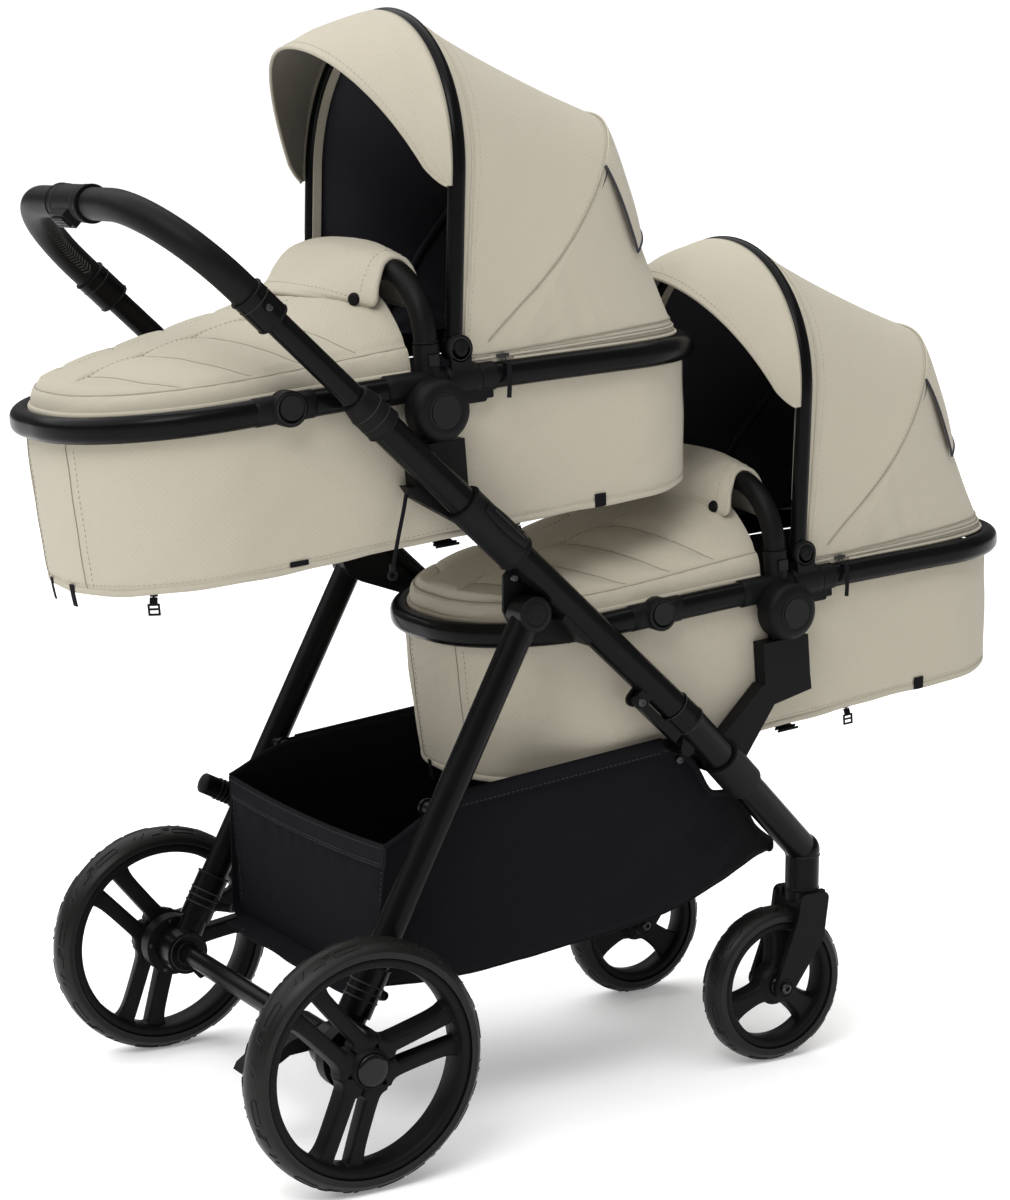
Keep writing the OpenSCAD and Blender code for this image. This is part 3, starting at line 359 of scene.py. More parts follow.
def woven(name, colour, pitch, roughness, relief, contrast, dots=0.0, **sockets):
    """Woven cloth laid by its own coordinates: diagonal ribs over fine threads, and dots at a wider pitch."""
    material, tree, shader = new_finish(name, roughness, **sockets)
    lay = put(tree, "ShaderNodeUVMap", uv_map="cloth").outputs["UV"]
    around = put(tree, "ShaderNodeTexCoord").outputs["Object"]
    twill = bands(tree, lay, pitch, **{"Distortion": 0.6, "Detail": 1.0, "Detail Scale": 2.0})
    thread = bands(tree, lay, pitch, "X", Distortion=0.4)
    slub = noise(tree, lay, 420.0, 3.0)
    mottle = noise(tree, around, 11.0, 4.0)
    height = add(tree, add(tree, twill, thread, 0.5), slub, 0.6)
    shade = add(tree, add(tree, spread(tree, twill, 0.0, 0.5), slub, 0.3), mottle, 0.5)
    if dots:
        mirror = put(tree, "ShaderNodeMapping", {"Vector": lay, "Scale": (-1.0, 1.0, 1.0)})
        rows = [bands(tree, way, dots) for way in (lay, mirror.outputs["Vector"])]
        spots = put(tree, "ShaderNodeMath", {0: rows[0], 1: rows[1]}, operation="MULTIPLY").outputs[0]
        height = add(tree, height, spots, -0.9)
        shade = add(tree, shade, spots, -0.5)
    colours = tint(tree, spread(tree, shade, 0.0, 0.85), colour, 1.0 - contrast, 1.0 + contrast)
    tree.links.new(colours, shader.inputs["Base Color"])
    tree.links.new(spread(tree, mottle, roughness - 0.05, roughness + 0.05), shader.inputs["Roughness"])
    bump = put(tree, "ShaderNodeBump", {"Strength": 0.55, "Distance": relief, "Height": height})
    tree.links.new(bump.outputs["Normal"], shader.inputs["Normal"])
    return material


def grained(name, colour, scale, relief, rough, edge, contrast=0.18, cells=False, **sockets):
    """Moulded, painted or leather surface: fine grain, uneven gloss and eased edges."""
    material, tree, shader = new_finish(name, rough[0], **sockets)
    around = put(tree, "ShaderNodeTexCoord").outputs["Object"]
    if cells:
        grain = put(tree, "ShaderNodeTexVoronoi", {"Vector": around, "Scale": scale}).outputs["Distance"]
    else:
        grain = noise(tree, around, scale, 2.0)
    patch = noise(tree, around, 16.0, 4.0)
    tree.links.new(tint(tree, patch, colour, 1.0 - contrast, 1.0 + contrast), shader.inputs["Base Color"])
    tree.links.new(spread(tree, patch, rough[0], rough[1]), shader.inputs["Roughness"])
    bump = put(tree, "ShaderNodeBump", {"Strength": 0.5, "Distance": relief, "Height": grain})
    if edge > 0:
        eased = put(tree, "ShaderNodeBevel", {"Radius": edge}, samples=6)
        tree.links.new(eased.outputs["Normal"], bump.inputs["Normal"])
    tree.links.new(bump.outputs["Normal"], shader.inputs["Normal"])
    return material


def make_finishes():
    """Every finish, by the short name that pieces ask for it."""
    cloth, tubes = settings().cloth, settings().tubes
    stone, nylon = tuple(cloth.stone), tuple(cloth.basket)
    weave, edge = cloth.weave, tubes.edge
    soft = {"Sheen Weight": 0.12, "Sheen Roughness": 0.45, "Specular IOR Level": 0.2}
    dark = {"Specular IOR Level": 0.05}

    def toned(colour, gain):
        """A colour times a gain."""
        return [gain * c for c in colour]

    def hard(name, colour, grain, relief, rough, level, eased=edge, **kind):
        """A grained surface that mirrors at a level."""
        kind["Specular IOR Level"] = level
        return grained(name, tuple(colour), grain, relief, rough, eased, **kind)

    return {
        "stone": woven("stone_fabric", stone, weave, 0.88, 0.0004, 0.05, cloth.dots, **soft),
        # stone at 0.6 of its colour: painted shade, for thin lines where seams and edges sink into the cloth
        "stone_seam_shade": woven("stone_seam_shade", toned(stone, 0.6), weave, 0.9, 0.0003, 0.06, **soft),
        "stone_thread": woven("stone_thread", toned(stone, 0.8), 0.0012, 0.8, 0.0002, 0.05, **soft),
        "stone_trim": woven("stone_trim", toned(stone, 0.93), weave, 0.9, 0.0004, 0.05, **soft),
        # stone at 0.36 of its colour: painted shade for the visor's underside, the same stone cloth in shade
        "stone_underside_shade": woven("stone_underside_shade", toned(stone, 0.36), weave, 0.9, 0.0004, 0.06, **soft),
        "lining": woven("lining_fabric", tuple(cloth.lining), 0.0011, 0.62, 0.0002, 0.12, **dark),
        "mattress": woven("mattress_fabric", tuple(cloth.mattress), 0.0022, 0.9, 0.0005, 0.12, **soft),
        "basket": woven("basket_nylon", nylon, 0.0014, 0.7, 0.0003, 0.14, **dark),
        "basket_trim": woven("basket_trim", toned(nylon, 1.3), 0.0014, 0.72, 0.0003, 0.14, **dark),
        "webbing": woven("black_webbing", toned(nylon, 1.3), 0.0026, 0.75, 0.0005, 0.2, **dark),
        "tube": hard("painted_tube", tubes.tube, 700.0, 0.00004, (0.22, 0.29), 0.08),
        "plastic": hard("moulded_plastic", tubes.plastic, 1100.0, 0.00014, (0.44, 0.54), 0.09),
        "button": hard("button_plastic", tubes.button, 1300.0, 0.0001, (0.4, 0.5), 0.14),
        "gloss": hard("cap_plastic", tubes.plastic, 900.0, 0.00002, (0.12, 0.2), 0.22),
        "steel": grained(
            "dark_steel", (0.05, 0.05, 0.052), 800.0, 0.00005, (0.28, 0.4), 0.0004, Metallic=1.0),
        "leather": hard("grip_leather", tubes.leather, 620.0, 0.00035, (0.4, 0.52), 0.1, 0.0, cells=True),
        "thread": grained("black_thread", (0.028, 0.028, 0.028), 2400.0, 0.0001, (0.6, 0.7), 0.0),
        "rubber": hard("tyre_rubber", tubes.rubber, 900.0, 0.00016, (0.34, 0.44), 0.19),
        "groove": grained("shadow_gap", (0.003, 0.003, 0.003), 900.0, 0.00005, (0.7, 0.8), 0.0),
    }


FINISHES = {}


def finish(name):
    """A finish by its short name; all are made when the first is asked for."""
    if not FINISHES:
        FINISHES.update(make_finishes())
    return FINISHES[name]


# Points and meshes

def unit(v):
    """Vectors of length 1."""
    return v / np.maximum(np.linalg.norm(v, axis=-1, keepdims=True), 1e-12)


def full_turn(count):
    """Angles at even steps round a circle."""
    return np.linspace(0, 2 * math.pi, count, endpoint=False)


def run_of(path):
    """How far along a path each of its points lies."""
    return np.concatenate([[0], np.cumsum(np.linalg.norm(np.diff(path, axis=0), axis=1))])


def between(at, far, points):
    """Points, or directions, at distances along a path whose own ones lie at far."""
    return np.stack([np.interp(at, far, points[:, k]) for k in range(points.shape[1])], -1)


def grid_normals(p, wrap=False):
    """Normals of a grid of points, rows by columns."""
    across = (np.roll(p, -1, 1) - np.roll(p, 1, 1)) if wrap else np.gradient(p, axis=1)
    return unit(np.cross(across, np.gradient(p, axis=0)))


def even(path, count, closed=False):
    """Points at even distances along a path."""
    path = np.asarray(path, float)
    if closed:
        path = np.vstack([path, path[:1]])
    far = run_of(path)
    return between(np.linspace(0, far[-1], count, endpoint=not closed), far, path)


def ease_path(points, count=60):
    """A smooth line through points."""
    points = np.asarray(points, float)
    at = np.arange(len(points))
    fine = np.linspace(0, len(points) - 1, count)
    return np.stack([ease(fine, at, points[:, k]) for k in range(3)], 1)


def smooth_step(x, low, high):
    """Rises from 0 at low to 1 at high, level at both."""
    t = np.clip((np.asarray(x, float) - low) / (high - low), 0, 1)
    return t * t * (3 - 2 * t)


def ease(x, xs, ys):
    """Goes through given values without corners."""
    x = np.asarray(x, float)
    xs, ys = np.asarray(xs, float), np.asarray(ys, float)
    steps = np.diff(ys) / np.diff(xs)
    before, after = steps[:-1], steps[1:]
    inner = np.where(before * after > 0, 2 * before * after / (before + after + 1e-12), 0)
    slope = np.concatenate([[steps[0]], inner, [steps[-1]]])
    k = np.clip(np.searchsorted(xs, x) - 1, 0, len(xs) - 2)
    h = xs[k + 1] - xs[k]
    t = np.clip((x - xs[k]) / h, 0, 1)
    return ((2 * t**3 - 3 * t**2 + 1) * ys[k] + (t**3 - 2 * t**2 + t) * h * slope[k]
            + (3 * t**2 - 2 * t**3) * ys[k + 1] + (t**3 - t**2) * h * slope[k + 1])


def ripple(u, v, seed):
    """Slow uneven waves from -1 to 1, the same on every run."""
    rng = np.random.default_rng(seed)
    total = 0
    for k in range(6):
        a, b, c = rng.uniform(-1, 1), rng.uniform(-1, 1), rng.uniform(0, 2 * math.pi)
        total = total + np.sin((1 + k) * (a * u + b * v) * 3.1 + c) / (1 + 0.6 * k)
    return total / 2.6


class Cut:
    """Points, faces and cloth coordinates of one piece while it is made, in metres."""

    def __init__(self):
        self.points, self.faces, self.lay, self.marks = [], [], [], []
        self.count = 0

    def grid(self, p, wrap=False, flip=False, mark=0):
        """Adds rows by columns of points as quads; wrap closes each row."""
        rows, cols = p.shape[:2]
        ring = np.concatenate([p, p[:, :1]], 1) if wrap else p
        u = np.concatenate([[0], np.cumsum(np.linalg.norm(np.diff(ring, axis=1), axis=2).mean(0))])
        v = np.concatenate([[0], np.cumsum(np.linalg.norm(np.diff(p, axis=0), axis=2).mean(1))])
        index = np.arange(rows * cols).reshape(rows, cols) + self.count
        if wrap:
            index = np.concatenate([index, index[:, :1]], 1)
        corner = [(0, 0), (0, 1), (1, 1), (1, 0)]
        if flip:
            corner.reverse()
        r, c = np.meshgrid(np.arange(rows - 1), np.arange(index.shape[1] - 1), indexing="ij")
        quads = np.stack([index[r + i, c + j] for i, j in corner], -1).reshape(-1, 4)
        coords = np.stack([np.stack([u[c + j], v[r + i]], -1) for i, j in corner], -2).reshape(-1, 2)
        self.points.append(p.reshape(-1, 3))
        self.faces.extend(quads.tolist())
        self.lay.append(coords)
        self.marks.extend([mark] * len(quads))
        self.count += rows * cols
        return self

    def shell(self, top, thick, heart, wrap=False, marks=(0, 0)):
        """A sheet with two faces and closed edges; heart is a point on its inner side."""
        n = grid_normals(top, wrap)
        out = np.einsum("ijk,ijk->ij", n, top - np.asarray(heart)).mean() > 0
        under = top - n * (thick if out else -thick)
        self.grid(top, wrap, not out, marks[0])
        self.grid(under, wrap, out, marks[1])
        for a, b, first in [(top[:1], under[:1], True), (top[-1:], under[-1:], False)]:
            self.grid(np.concatenate([a, b]), wrap, first == out, marks[0])
        if not wrap:
            for a, b, first in [(top[:, :1], under[:, :1], False), (top[:, -1:], under[:, -1:], True)]:
                self.grid(np.concatenate([a, b], 1).transpose(1, 0, 2), False, first == out, marks[0])
        return self

    def tube(self, path, radius, sides=10, closed=False, mark=0, flat=1.0, up=None):
        """A round or flattened tube along a path; open ends are closed."""
        path = np.asarray(path, float)
        if closed:
            along = unit(np.roll(path, -1, 0) - np.roll(path, 1, 0))
        else:
            along = unit(np.gradient(path, axis=0))
        side = np.zeros_like(path)
        first = np.eye(3)[np.argmin(np.abs(along[0]))]
        last = unit(first - along[0] * np.dot(first, along[0]))
        for k, t in enumerate(along):
            if up is not None:
                last = np.asarray(up[k] if np.ndim(up) > 1 else up, float)
            last = unit(last - t * np.dot(last, t))
            side[k] = last
        if closed and up is None:
            twist = math.atan2(np.dot(np.cross(side[0], side[-1]), along[0]), np.dot(side[0], side[-1]))
            turn = -twist * np.arange(len(path)) / len(path)
            side = side * np.cos(turn)[:, None] + np.cross(along, side) * np.sin(turn)[:, None]
        other = np.cross(along, side)
        a = full_turn(sides)
        r = np.broadcast_to(np.asarray(radius, float), (len(path),))[:, None, None]
        rings = path[:, None] + r * (np.cos(a)[None, :, None] * side[:, None] * flat
                                     + np.sin(a)[None, :, None] * other[:, None])
        if closed:
            rings = np.concatenate([rings, rings[:1]])
        self.grid(rings, True, False, mark)
        if not closed:
            for ring, centre, flip in [(rings[0], path[0], True), (rings[-1], path[-1], False)]:
                self.grid(np.stack([ring, np.repeat(centre[None], sides, 0)]), True, flip, mark)
        return self

    def stitches(self, path, normals, size, mark=1, pitch=None, lift=0.0):
        """Sewn dashes of a length and radius along a path on cloth; normals may be one for all."""
        length, radius = size
        pitch = pitch or settings().cloth.stitch
        path = np.asarray(path, float)
        far = run_of(path)
        at = np.arange(pitch / 2, far[-1] - pitch / 2, pitch)
        mid = between(at, far, path)
        ahead = between(at + 0.3 * pitch, far, path)
        up = unit(between(at, far, np.broadcast_to(normals, path.shape)))
        along = unit(ahead - mid)
        side = np.cross(along, up)
        mid = mid + up * lift
        a = full_turn(6)
        for centre, t, s, n in zip(mid, along, side, up):
            rows = []
            for f, r, h in [(-0.5, 0.3, -0.5), (-0.25, 1.0, 0.2), (0.25, 1.0, 0.2), (0.5, 0.3, -0.5)]:
                rows.append(centre + t * f * length + n * h * radius
                            + radius * r * (np.cos(a)[:, None] * s + np.sin(a)[:, None] * n))
            self.grid(np.array(rows), True, True, mark)
        return self

    def turned(self, profile, centre, axis, start, sides=72, mark=0):
        """A profile of (radius, height) pairs turned about an axis."""
        axis, start = unit(np.asarray(axis, float)), unit(np.asarray(start, float))
        other = np.cross(axis, start)
        a = full_turn(sides)
        ring = np.cos(a)[:, None] * start + np.sin(a)[:, None] * other
        rows = [np.asarray(centre) + r * ring + h * axis for r, h in profile]
        return self.grid(np.array(rows), True, True, mark)

    def ring(self, centre, axis, radius, thick, mark=0, sides=64):
        """A round cord bent into a circle."""
        axis = unit(np.asarray(axis, float))
        start = unit(np.cross(axis, np.eye(3)[np.argmin(np.abs(axis))]))
        a = full_turn(sides)[:, None]
        loop = np.asarray(centre) + radius * (np.cos(a) * start + np.sin(a) * np.cross(axis, start))
        return self.tube(loop, thick, 8, closed=True, mark=mark, up=axis)

    def bolt(self, centre, axis, radius, height, mark=0):
        """A domed head with a round recess."""
        axis = unit(np.asarray(axis, float))
        start = np.cross(axis, np.eye(3)[np.argmin(np.abs(axis))])
        profile = np.array([
            (1.0, -0.5), (1.0, 0.5), (0.92, 0.82), (0.74, 1.0), (0.46, 1.0), (0.42, 0.5), (0.001, 0.45)])
        return self.turned(profile * (radius, height), centre, axis, start, 32, mark)

    def piece(self, name, body, slot, finishes, weld=True):
        """Makes the Blender object and lets it ride on a body."""
        mesh = bpy.data.meshes.new(name)
        mesh.from_pydata(np.concatenate(self.points).tolist(), [], self.faces)
        layer = mesh.uv_layers.new(name="cloth")
        layer.data.foreach_set("uv", np.concatenate(self.lay).astype(np.float32).ravel())
        mesh.polygons.foreach_set("material_index", np.array(self.marks, np.int32))
        for short_name in finishes:
            mesh.materials.append(finish(short_name))
        if weld:
            work = bmesh.new()
            work.from_mesh(mesh)
            bmesh.ops.remove_doubles(work, verts=work.verts, dist=2e-6)
            bmesh.ops.dissolve_degenerate(work, edges=work.edges, dist=1e-7)
            bmesh.ops.recalc_face_normals(work, faces=work.faces)
            work.to_mesh(mesh)
            work.free()
        mesh.shade_smooth()
        mesh.set_sharp_from_angle(angle=math.radians(50))
        made = bpy.data.objects.new(name, mesh)
        bpy.context.scene.collection.objects.link(made)
        if body:
            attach(made, body)
        return made


def strap(cut, line, faces, half, thick, mark=0):
    """Adds a flat strap along a line; faces are the directions that it faces at the line's points."""
    at = np.arange(len(line))
    fine = np.linspace(0, len(line) - 1, 6 * len(line))
    line, faces = (between(fine, at, np.asarray(k)) for k in (line, faces))
    cut.tube(line, half, 12, flat=thick / half, up=faces, mark=mark)


def declare_cloth(piece, p, wrap=False):
    """Works out the greatest width and length of the flat cloth that a piece was cut from, and keeps neither; the
    piece itself is not read.
    """
    ring = np.concatenate([p, p[:, :1]], 1) if wrap else p
    width = float(np.linalg.norm(np.diff(ring, axis=1), axis=2).sum(1).max())
    length = float(np.linalg.norm(np.diff(p, axis=0), axis=2).sum(0).max())


# Carrycots: places in the cot's own frame

class Cot:
    """One carrycot's place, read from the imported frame."""

    def __init__(self, name):
        self.name = name
        self.body = f"{name}_cot"
        self.arch = f"{name}_arch"
        lift = next(j for j in frame["joints"] if j["name"] == f"{name}_cot_lift")
        self.up = np.array(lift["axis"])
        self.ahead = np.array((self.up[2], 0.0, -self.up[0]))
        low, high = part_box(f"{name}_hub_button_left")
        self.hub = np.array(((low.x + high.x) / 2, 0.0, (low.z + high.z) / 2))

    def at(self, p):
        """Points in the row frame, in metres, from the cot's own millimetres; the rim's ends bow down."""
        p = np.asarray(p, float)
        bow = BOW * (p[..., :1] / 400) ** 2 * np.clip(0.35 + 0.65 * (p[..., 2:] + 150) / 176, 0.35, 1)
        p = np.concatenate([p[..., :2], p[..., 2:] - bow], -1) * MM
        return self.hub + p[..., :1] * self.ahead + p[..., 1:2] * ACROSS + p[..., 2:] * self.up

    def way(self, x, y, z):
        """A direction in the row frame from the cot's own."""
        return x * self.ahead + y * ACROSS + z * self.up

    def from_arch(self, p):
        """The same from the arch's frame, which leans about its pivots."""
        p = np.asarray(p, float)
        c, s = math.cos(ARCH_LEAN), math.sin(ARCH_LEAN)
        x = PIVOT[0] + p[..., 0] * c + p[..., 2] * s
        z = PIVOT[1] - p[..., 0] * s + p[..., 2] * c
        return self.at(np.stack([x, p[..., 1], z], -1))


def cots():
    """Both carrycots, the rear one first."""
    return [Cot("upper"), Cot("lower")]


def outline(inset, count):
    """Loop round the cot at an inset from the rim's middle, from the foot over the left side."""
    w = RIM_HALF - inset
    rf, rh = FOOT_CORNER - inset / 2, HEAD_CORNER - inset / 2
    xf, xh = -FOOT_LEN + inset + rf, HEAD_LEN - inset - rh
    turn = np.radians(np.linspace(0, 90, 60))
    quarter = [
        np.stack([xf - rf * np.cos(turn), (w - rf) + rf * np.sin(turn)], 1),
        np.stack([xh + rh * np.sin(turn), (w - rh) + rh * np.cos(turn)], 1)]
    half = np.vstack([[[-FOOT_LEN + inset, 0]], *quarter, [[HEAD_LEN - inset, 0]]])
    return even(np.vstack([half, half[-2:0:-1] * (1, -1)]), count, closed=True)


def outward(loop):
    """Directions out of a closed loop in plan."""
    ahead = unit(np.roll(loop, -1, 0) - np.roll(loop, 1, 0))
    return np.stack([-ahead[:, 1], ahead[:, 0]], 1)


def make_rim(cot):
    """Bowed oval rim with its sleeves, knuckles and the posts of the canopy's pivots."""
    turn = full_turn(32)
    rim = Cut()

    def section(loop, out, extra):
        """Rings round a line in plan, flat on the outside where a knuckle's button comes in."""
        c, s = np.cos(turn), np.sin(turn)
        room = np.where(np.abs(loop[:, :1] - KNUCKLE_X) < KNUCKLE_WELL, WELL_WALL, np.inf)
        plan = loop[:, None] + np.minimum((RIM_R + extra) * c, room)[..., None] * out[:, None]
        z = RIM_Z + (RIM_R + extra) * s + RIM_FLAT * np.sign(np.round(s, 6))
        return cot.at(np.concatenate([plan, np.broadcast_to(z, plan.shape[:2])[..., None]], -1))

    loop = outline(0, 300)
    rings = section(loop, outward(loop), 0.0)
    rim.grid(np.concatenate([rings, rings[:1]]), True)
    sleeves = ((-212, -141, 0.9), (-52, 22, 2.0), (24, 66, 2.6), (67, 88, 1.2))
    well_ends = [KNUCKLE_X + way * KNUCKLE_WELL + step for way in (-1, 1) for step in (-0.1, 0.1)]
    knuckle = MM * np.array([
        (14.6, -4), (18.6, -4), (20, -2.8), (20, 14.6), (18.8, 16), (14.8, 16), (14.5, 9), (0.1, 9)])
    pivot_seat = MM * np.array([(0.1, 6), (16, 6), (16, 11), (15, 12), (0.1, 12)])
    posts = ((PIVOT[0], 13, (188, 194), (RIM_Z, PIVOT[1])), (58, 15, (172, 190), (-1, RIM_Z)),
             (76, 7, (174, 188), (2, RIM_Z)))
    for side in (1, -1):
        out = np.array((0.0, float(side)))
        for low, high, extra in sleeves:
            well = [x for x in well_ends if low < KNUCKLE_X < high]
            inner = np.sort([*np.linspace(low + 0.8, high - 0.8, 8), *well])
            x = np.concatenate([[low, low], inner, [high, high]])
            grow = np.array([0.0, extra - 0.7, *[extra] * len(inner), extra - 0.7, 0.0])
            sleeve = [section(np.array([(k, side * RIM_HALF)]), out[None], g)[0] for k, g in zip(x, grow)]
            rim.grid(np.array(sleeve), True, side > 0, mark=1)
        for profile, place, sides in ((knuckle, (KNUCKLE_X, side * RIM_HALF, RIM_Z), 64),
                                      (pivot_seat, (PIVOT[0], side * RIM_HALF, PIVOT[1]), 48)):
            rim.turned(profile, cot.at(place), side * ACROSS, (1, 0, 0), sides, mark=1)
        for x, half, (y0, y1), (z0, z1) in posts:
            ring = np.array([(x - half, y0), (x + half, y0), (x + half, y1), (x - half, y1)]) * (1, side)
            ring = even(ring, 24, closed=True)
            rows = [np.column_stack([(x, 0) + (ring - (x, 0)) * (k, 1), np.full(24, z)])
                    for k, z in ((0.01, z0), (0.85, z0), (1, z0 + 2), (1, z1))]
            rim.grid(cot.at(np.array(rows)), True, mark=1)
    made = rim.piece(f"{cot.name}_rim_loop", cot.body, "frame_tube", ["tube", "plastic"])
    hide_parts(f"{cot.name}_rim")


def tub_floor(x):
    """Height of the tub's floor, which rises to the head."""
    return RIM_Z - FOOT_DEPTH + (FOOT_DEPTH - HEAD_DEPTH) * (x + FOOT_LEN) / (FOOT_LEN + HEAD_LEN)


def drawn_in(row, share, along):
    """A loop drawn in to a share of its width and of its length."""
    row = row.copy()
    row[:, 1] *= share
    row[:, 0] = TUB_MID + (row[:, 0] - TUB_MID) * along
    return row


def tub_row(h, count, proud=0.0):
    """One loop of the tub's wall at height h, from its floor (0) to its top (1)."""
    inset = np.interp(h, [0, 0.03, 0.08, 0.55, 1], [15, 11.5, 10, 7.5, 4])
    loop = outline(inset, count)
    bulge = 2.4 * math.sin(math.pi * h) ** 0.7 if 0 < h < 1 else 0.0
    wave = 1.3 * ripple(3 * full_turn(count), 2.2 * h, 11)
    wave = wave * smooth_step(h, 0.02, 0.2) * (1 - smooth_step(h, 0.85, 1))
    loop = loop + outward(loop) * (bulge + wave + proud)[:, None]
    floor = tub_floor(loop[:, 0])
    return np.column_stack([loop, floor + h * (RIM_LOW - 0.5 - floor)])


def make_tub(cot):
    """Cloth tub with a lining inside it."""
    count = 240
    heights = np.concatenate([np.linspace(1, 0.12, 26), [0.08, 0.055, 0.035, 0.018, 0.006, 0.0]])
    wall = np.array([tub_row(h, count) for h in heights])
    base = []
    for share in (0.97, 0.9, 0.75, 0.5, 0.25, 0.02):
        row = drawn_in(wall[-1], share, 1 - 0.45 * (1 - share))
        row[:, 2] = tub_floor(row[:, 0]) + 0.5 * (1 - share)
        base.append(row)
    skin = cot.at(np.concatenate([wall, np.array(base)]))
    heart = cot.at((0, 0, -80))
    cut = Cut().shell(skin, 0.0022, heart, wrap=True, marks=(0, 1))
    tub = cut.piece(f"{cot.name}_tub_cloth", cot.body, "stone_fabric", ["stone", "lining"])
    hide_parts(f"{cot.name}_tub")
    trims = make_tub_seams(cot, count, heart)
    inner = np.array([tub_row(h, count, -4.4) for h in np.linspace(0.99, 0.1, 12)])
    lining = Cut().shell(cot.at(inner), 0.0015, heart, wrap=True)
    made = lining.piece(f"{cot.name}_tub_lining", cot.body, "mattress_fabric", ["lining"])
    declare_cloth(tub, skin, wrap=True)
    declare_cloth(made, cot.at(inner), wrap=True)
    make_tub_loops(cot)


def make_tub_seams(cot, count, heart):
    """Piped base, corner seams and the welt under the apron's edge."""
    piping = settings().cloth.piping
    trim = Cut()
    foot_edge = tub_row(0.024, 300, 1.3)
    turn = full_turn(300)
    foot_edge[:, 2] += 0.8 * np.sin(9 * turn + 1) + 0.5 * np.sin(23 * turn)
    trim.tube(cot.at(foot_edge), piping * 1.3, 10, closed=True, flat=2.3, up=cot.up)
    row = cot.at(tub_row(0.068, 400, 0.3))
    trim.stitches(row, unit(row - heart), FOOT_STITCH)
    for share in (0.028, 0.972, 0.44, 0.56):
        rise = np.array([tub_row(h, count, 0.5)[int(share * count)] for h in np.linspace(0.03, 0.99, 40)])
        # dark stone line: painted shade in the sunken corner seam
        trim.tube(cot.at(rise), 0.0005, 6, mark=2)
        place = int((share - 0.006) * 800)
        beside = cot.at(np.array([tub_row(h, 800, 0.3)[place] for h in np.linspace(0.05, 0.97, 40)]))
        trim.stitches(beside, unit(beside - heart), FINE_STITCH)
    welt = np.roll(outline(11.2, 400), 200, 0)
    welt = welt[welt[:, 0] < APRON_BACK]
    welt = np.column_stack([welt, np.full(len(welt), RIM_TOP - 2.0)])
    trim.tube(cot.at(welt), 0.0034, 10, up=cot.up, flat=1.3)
    return trim.piece(f"{cot.name}_tub_seams", cot.body, "stone_fabric", SEAM_FINISHES)


def make_tub_loops(cot):
    """Webbing, ladder buckles and pull slots under and over the tub's lower edge."""
    webbing, buckles = Cut(), Cut()
    count = 800
    loop = tub_row(0.0, count)

    def places(share):
        """Both places at a share of the way round, each with its directions along and out."""
        for way in (share, 1 - share):
            k = round(way * count) % count
            along = loop[(k + 2) % count] - loop[k - 2]
            along = along / math.hypot(along[0], along[1])
            yield loop[k], np.array((along[0], along[1], 0.0)), np.array((-along[1], along[0], 0.0))

    def lay(at, out, steps):
        """Points from steps out and up from a place on the edge."""
        return cot.at(np.array([at + o * out + (0, 0, z) for o, z in steps]))

    def bar(ends, radius):
        """One round bar of a buckle."""
        buckles.tube(cot.at(even(np.array(ends), 5)), radius, 8)

    for at, _, out in places(0.645):
        face = [-cot.up] * 2 + [cot.way(*out)] * 3
        line = lay(at, out, [(-24, -0.8), (-4, -1.6), (6.3, 0.5), (6.9, 9), (7.6, 16)])
        strap(webbing, line, face, 0.0078, 0.0008)
    for at, _, out in places(0.985):
        line = lay(at, out, [(6.9, 9), (6.6, 1), (5.6, -8), (4.4, -16)])
        strap(webbing, line, [cot.way(*out)] * 4, 0.0055, 0.0009)
    for share in (0.93, 0.7):
        for at, along, out in places(share):
            face = [-cot.up] * 2 + [cot.way(*out)] * 2
            strap(webbing, lay(at, out, [(-16, -0.8), (-6, -1.6), (-3, -8), (-2, -13)]), face, 0.0048, 0.0008)
            for z in (-12, -17, -23):
                bar([at - 2 * out + k * along + (0, 0, z) for k in (-6, 6)], 0.0014)
            for k in (-6, 6):
                bar([at - 2 * out + k * along + (0, 0, z) for z in (-11, -24)], 0.0014)
    for at, along, out in places(0.75):
        strap(webbing, lay(at, out, [(-20, -1), (-6, -4), (5, -7)]), [-cot.up] * 3, 0.0125, 0.001)
        for o, z in ((5, -7.2), (-1, -5.6)):
            bar([at + o * out + k * along + (0, 0, z) for k in (-15, 15)], 0.0017)
    for at, _, out in places(0.845):
        strap(webbing, lay(at, out, [(6.0, 6), (6.6, 12)]), [cot.way(*out)] * 2, 0.0115, 0.0005)
    webbing.piece(f"{cot.name}_tub_loops", cot.body, "black_plastic", ["webbing"])
    buckles.piece(f"{cot.name}_tub_buckles", cot.body, "black_plastic", ["plastic"])


# Mattress

def mattress_rows(count):
    """Loops of the mattress from under its edge over its side to its crown."""
    rows = []
    for inset, lift in [(32, PAD_LOW), (25, 8), (23.5, 15), (24, 24), (27.5, 31), (33, PAD_EDGE)]:
        loop = outline(inset, count)
        rows.append(np.column_stack([loop, tub_floor(loop[:, 0]) + lift]))
    edge = rows[-1]
    for share in (0.93, 0.82, 0.66, 0.45, 0.22, 0.03):
        row = drawn_in(edge, share, 1 - 0.42 * (1 - share))
        row[:, 2] = tub_floor(row[:, 0]) + PAD_EDGE + 5 * (1 - share**2)
        rows.append(row)
    return np.array(rows)


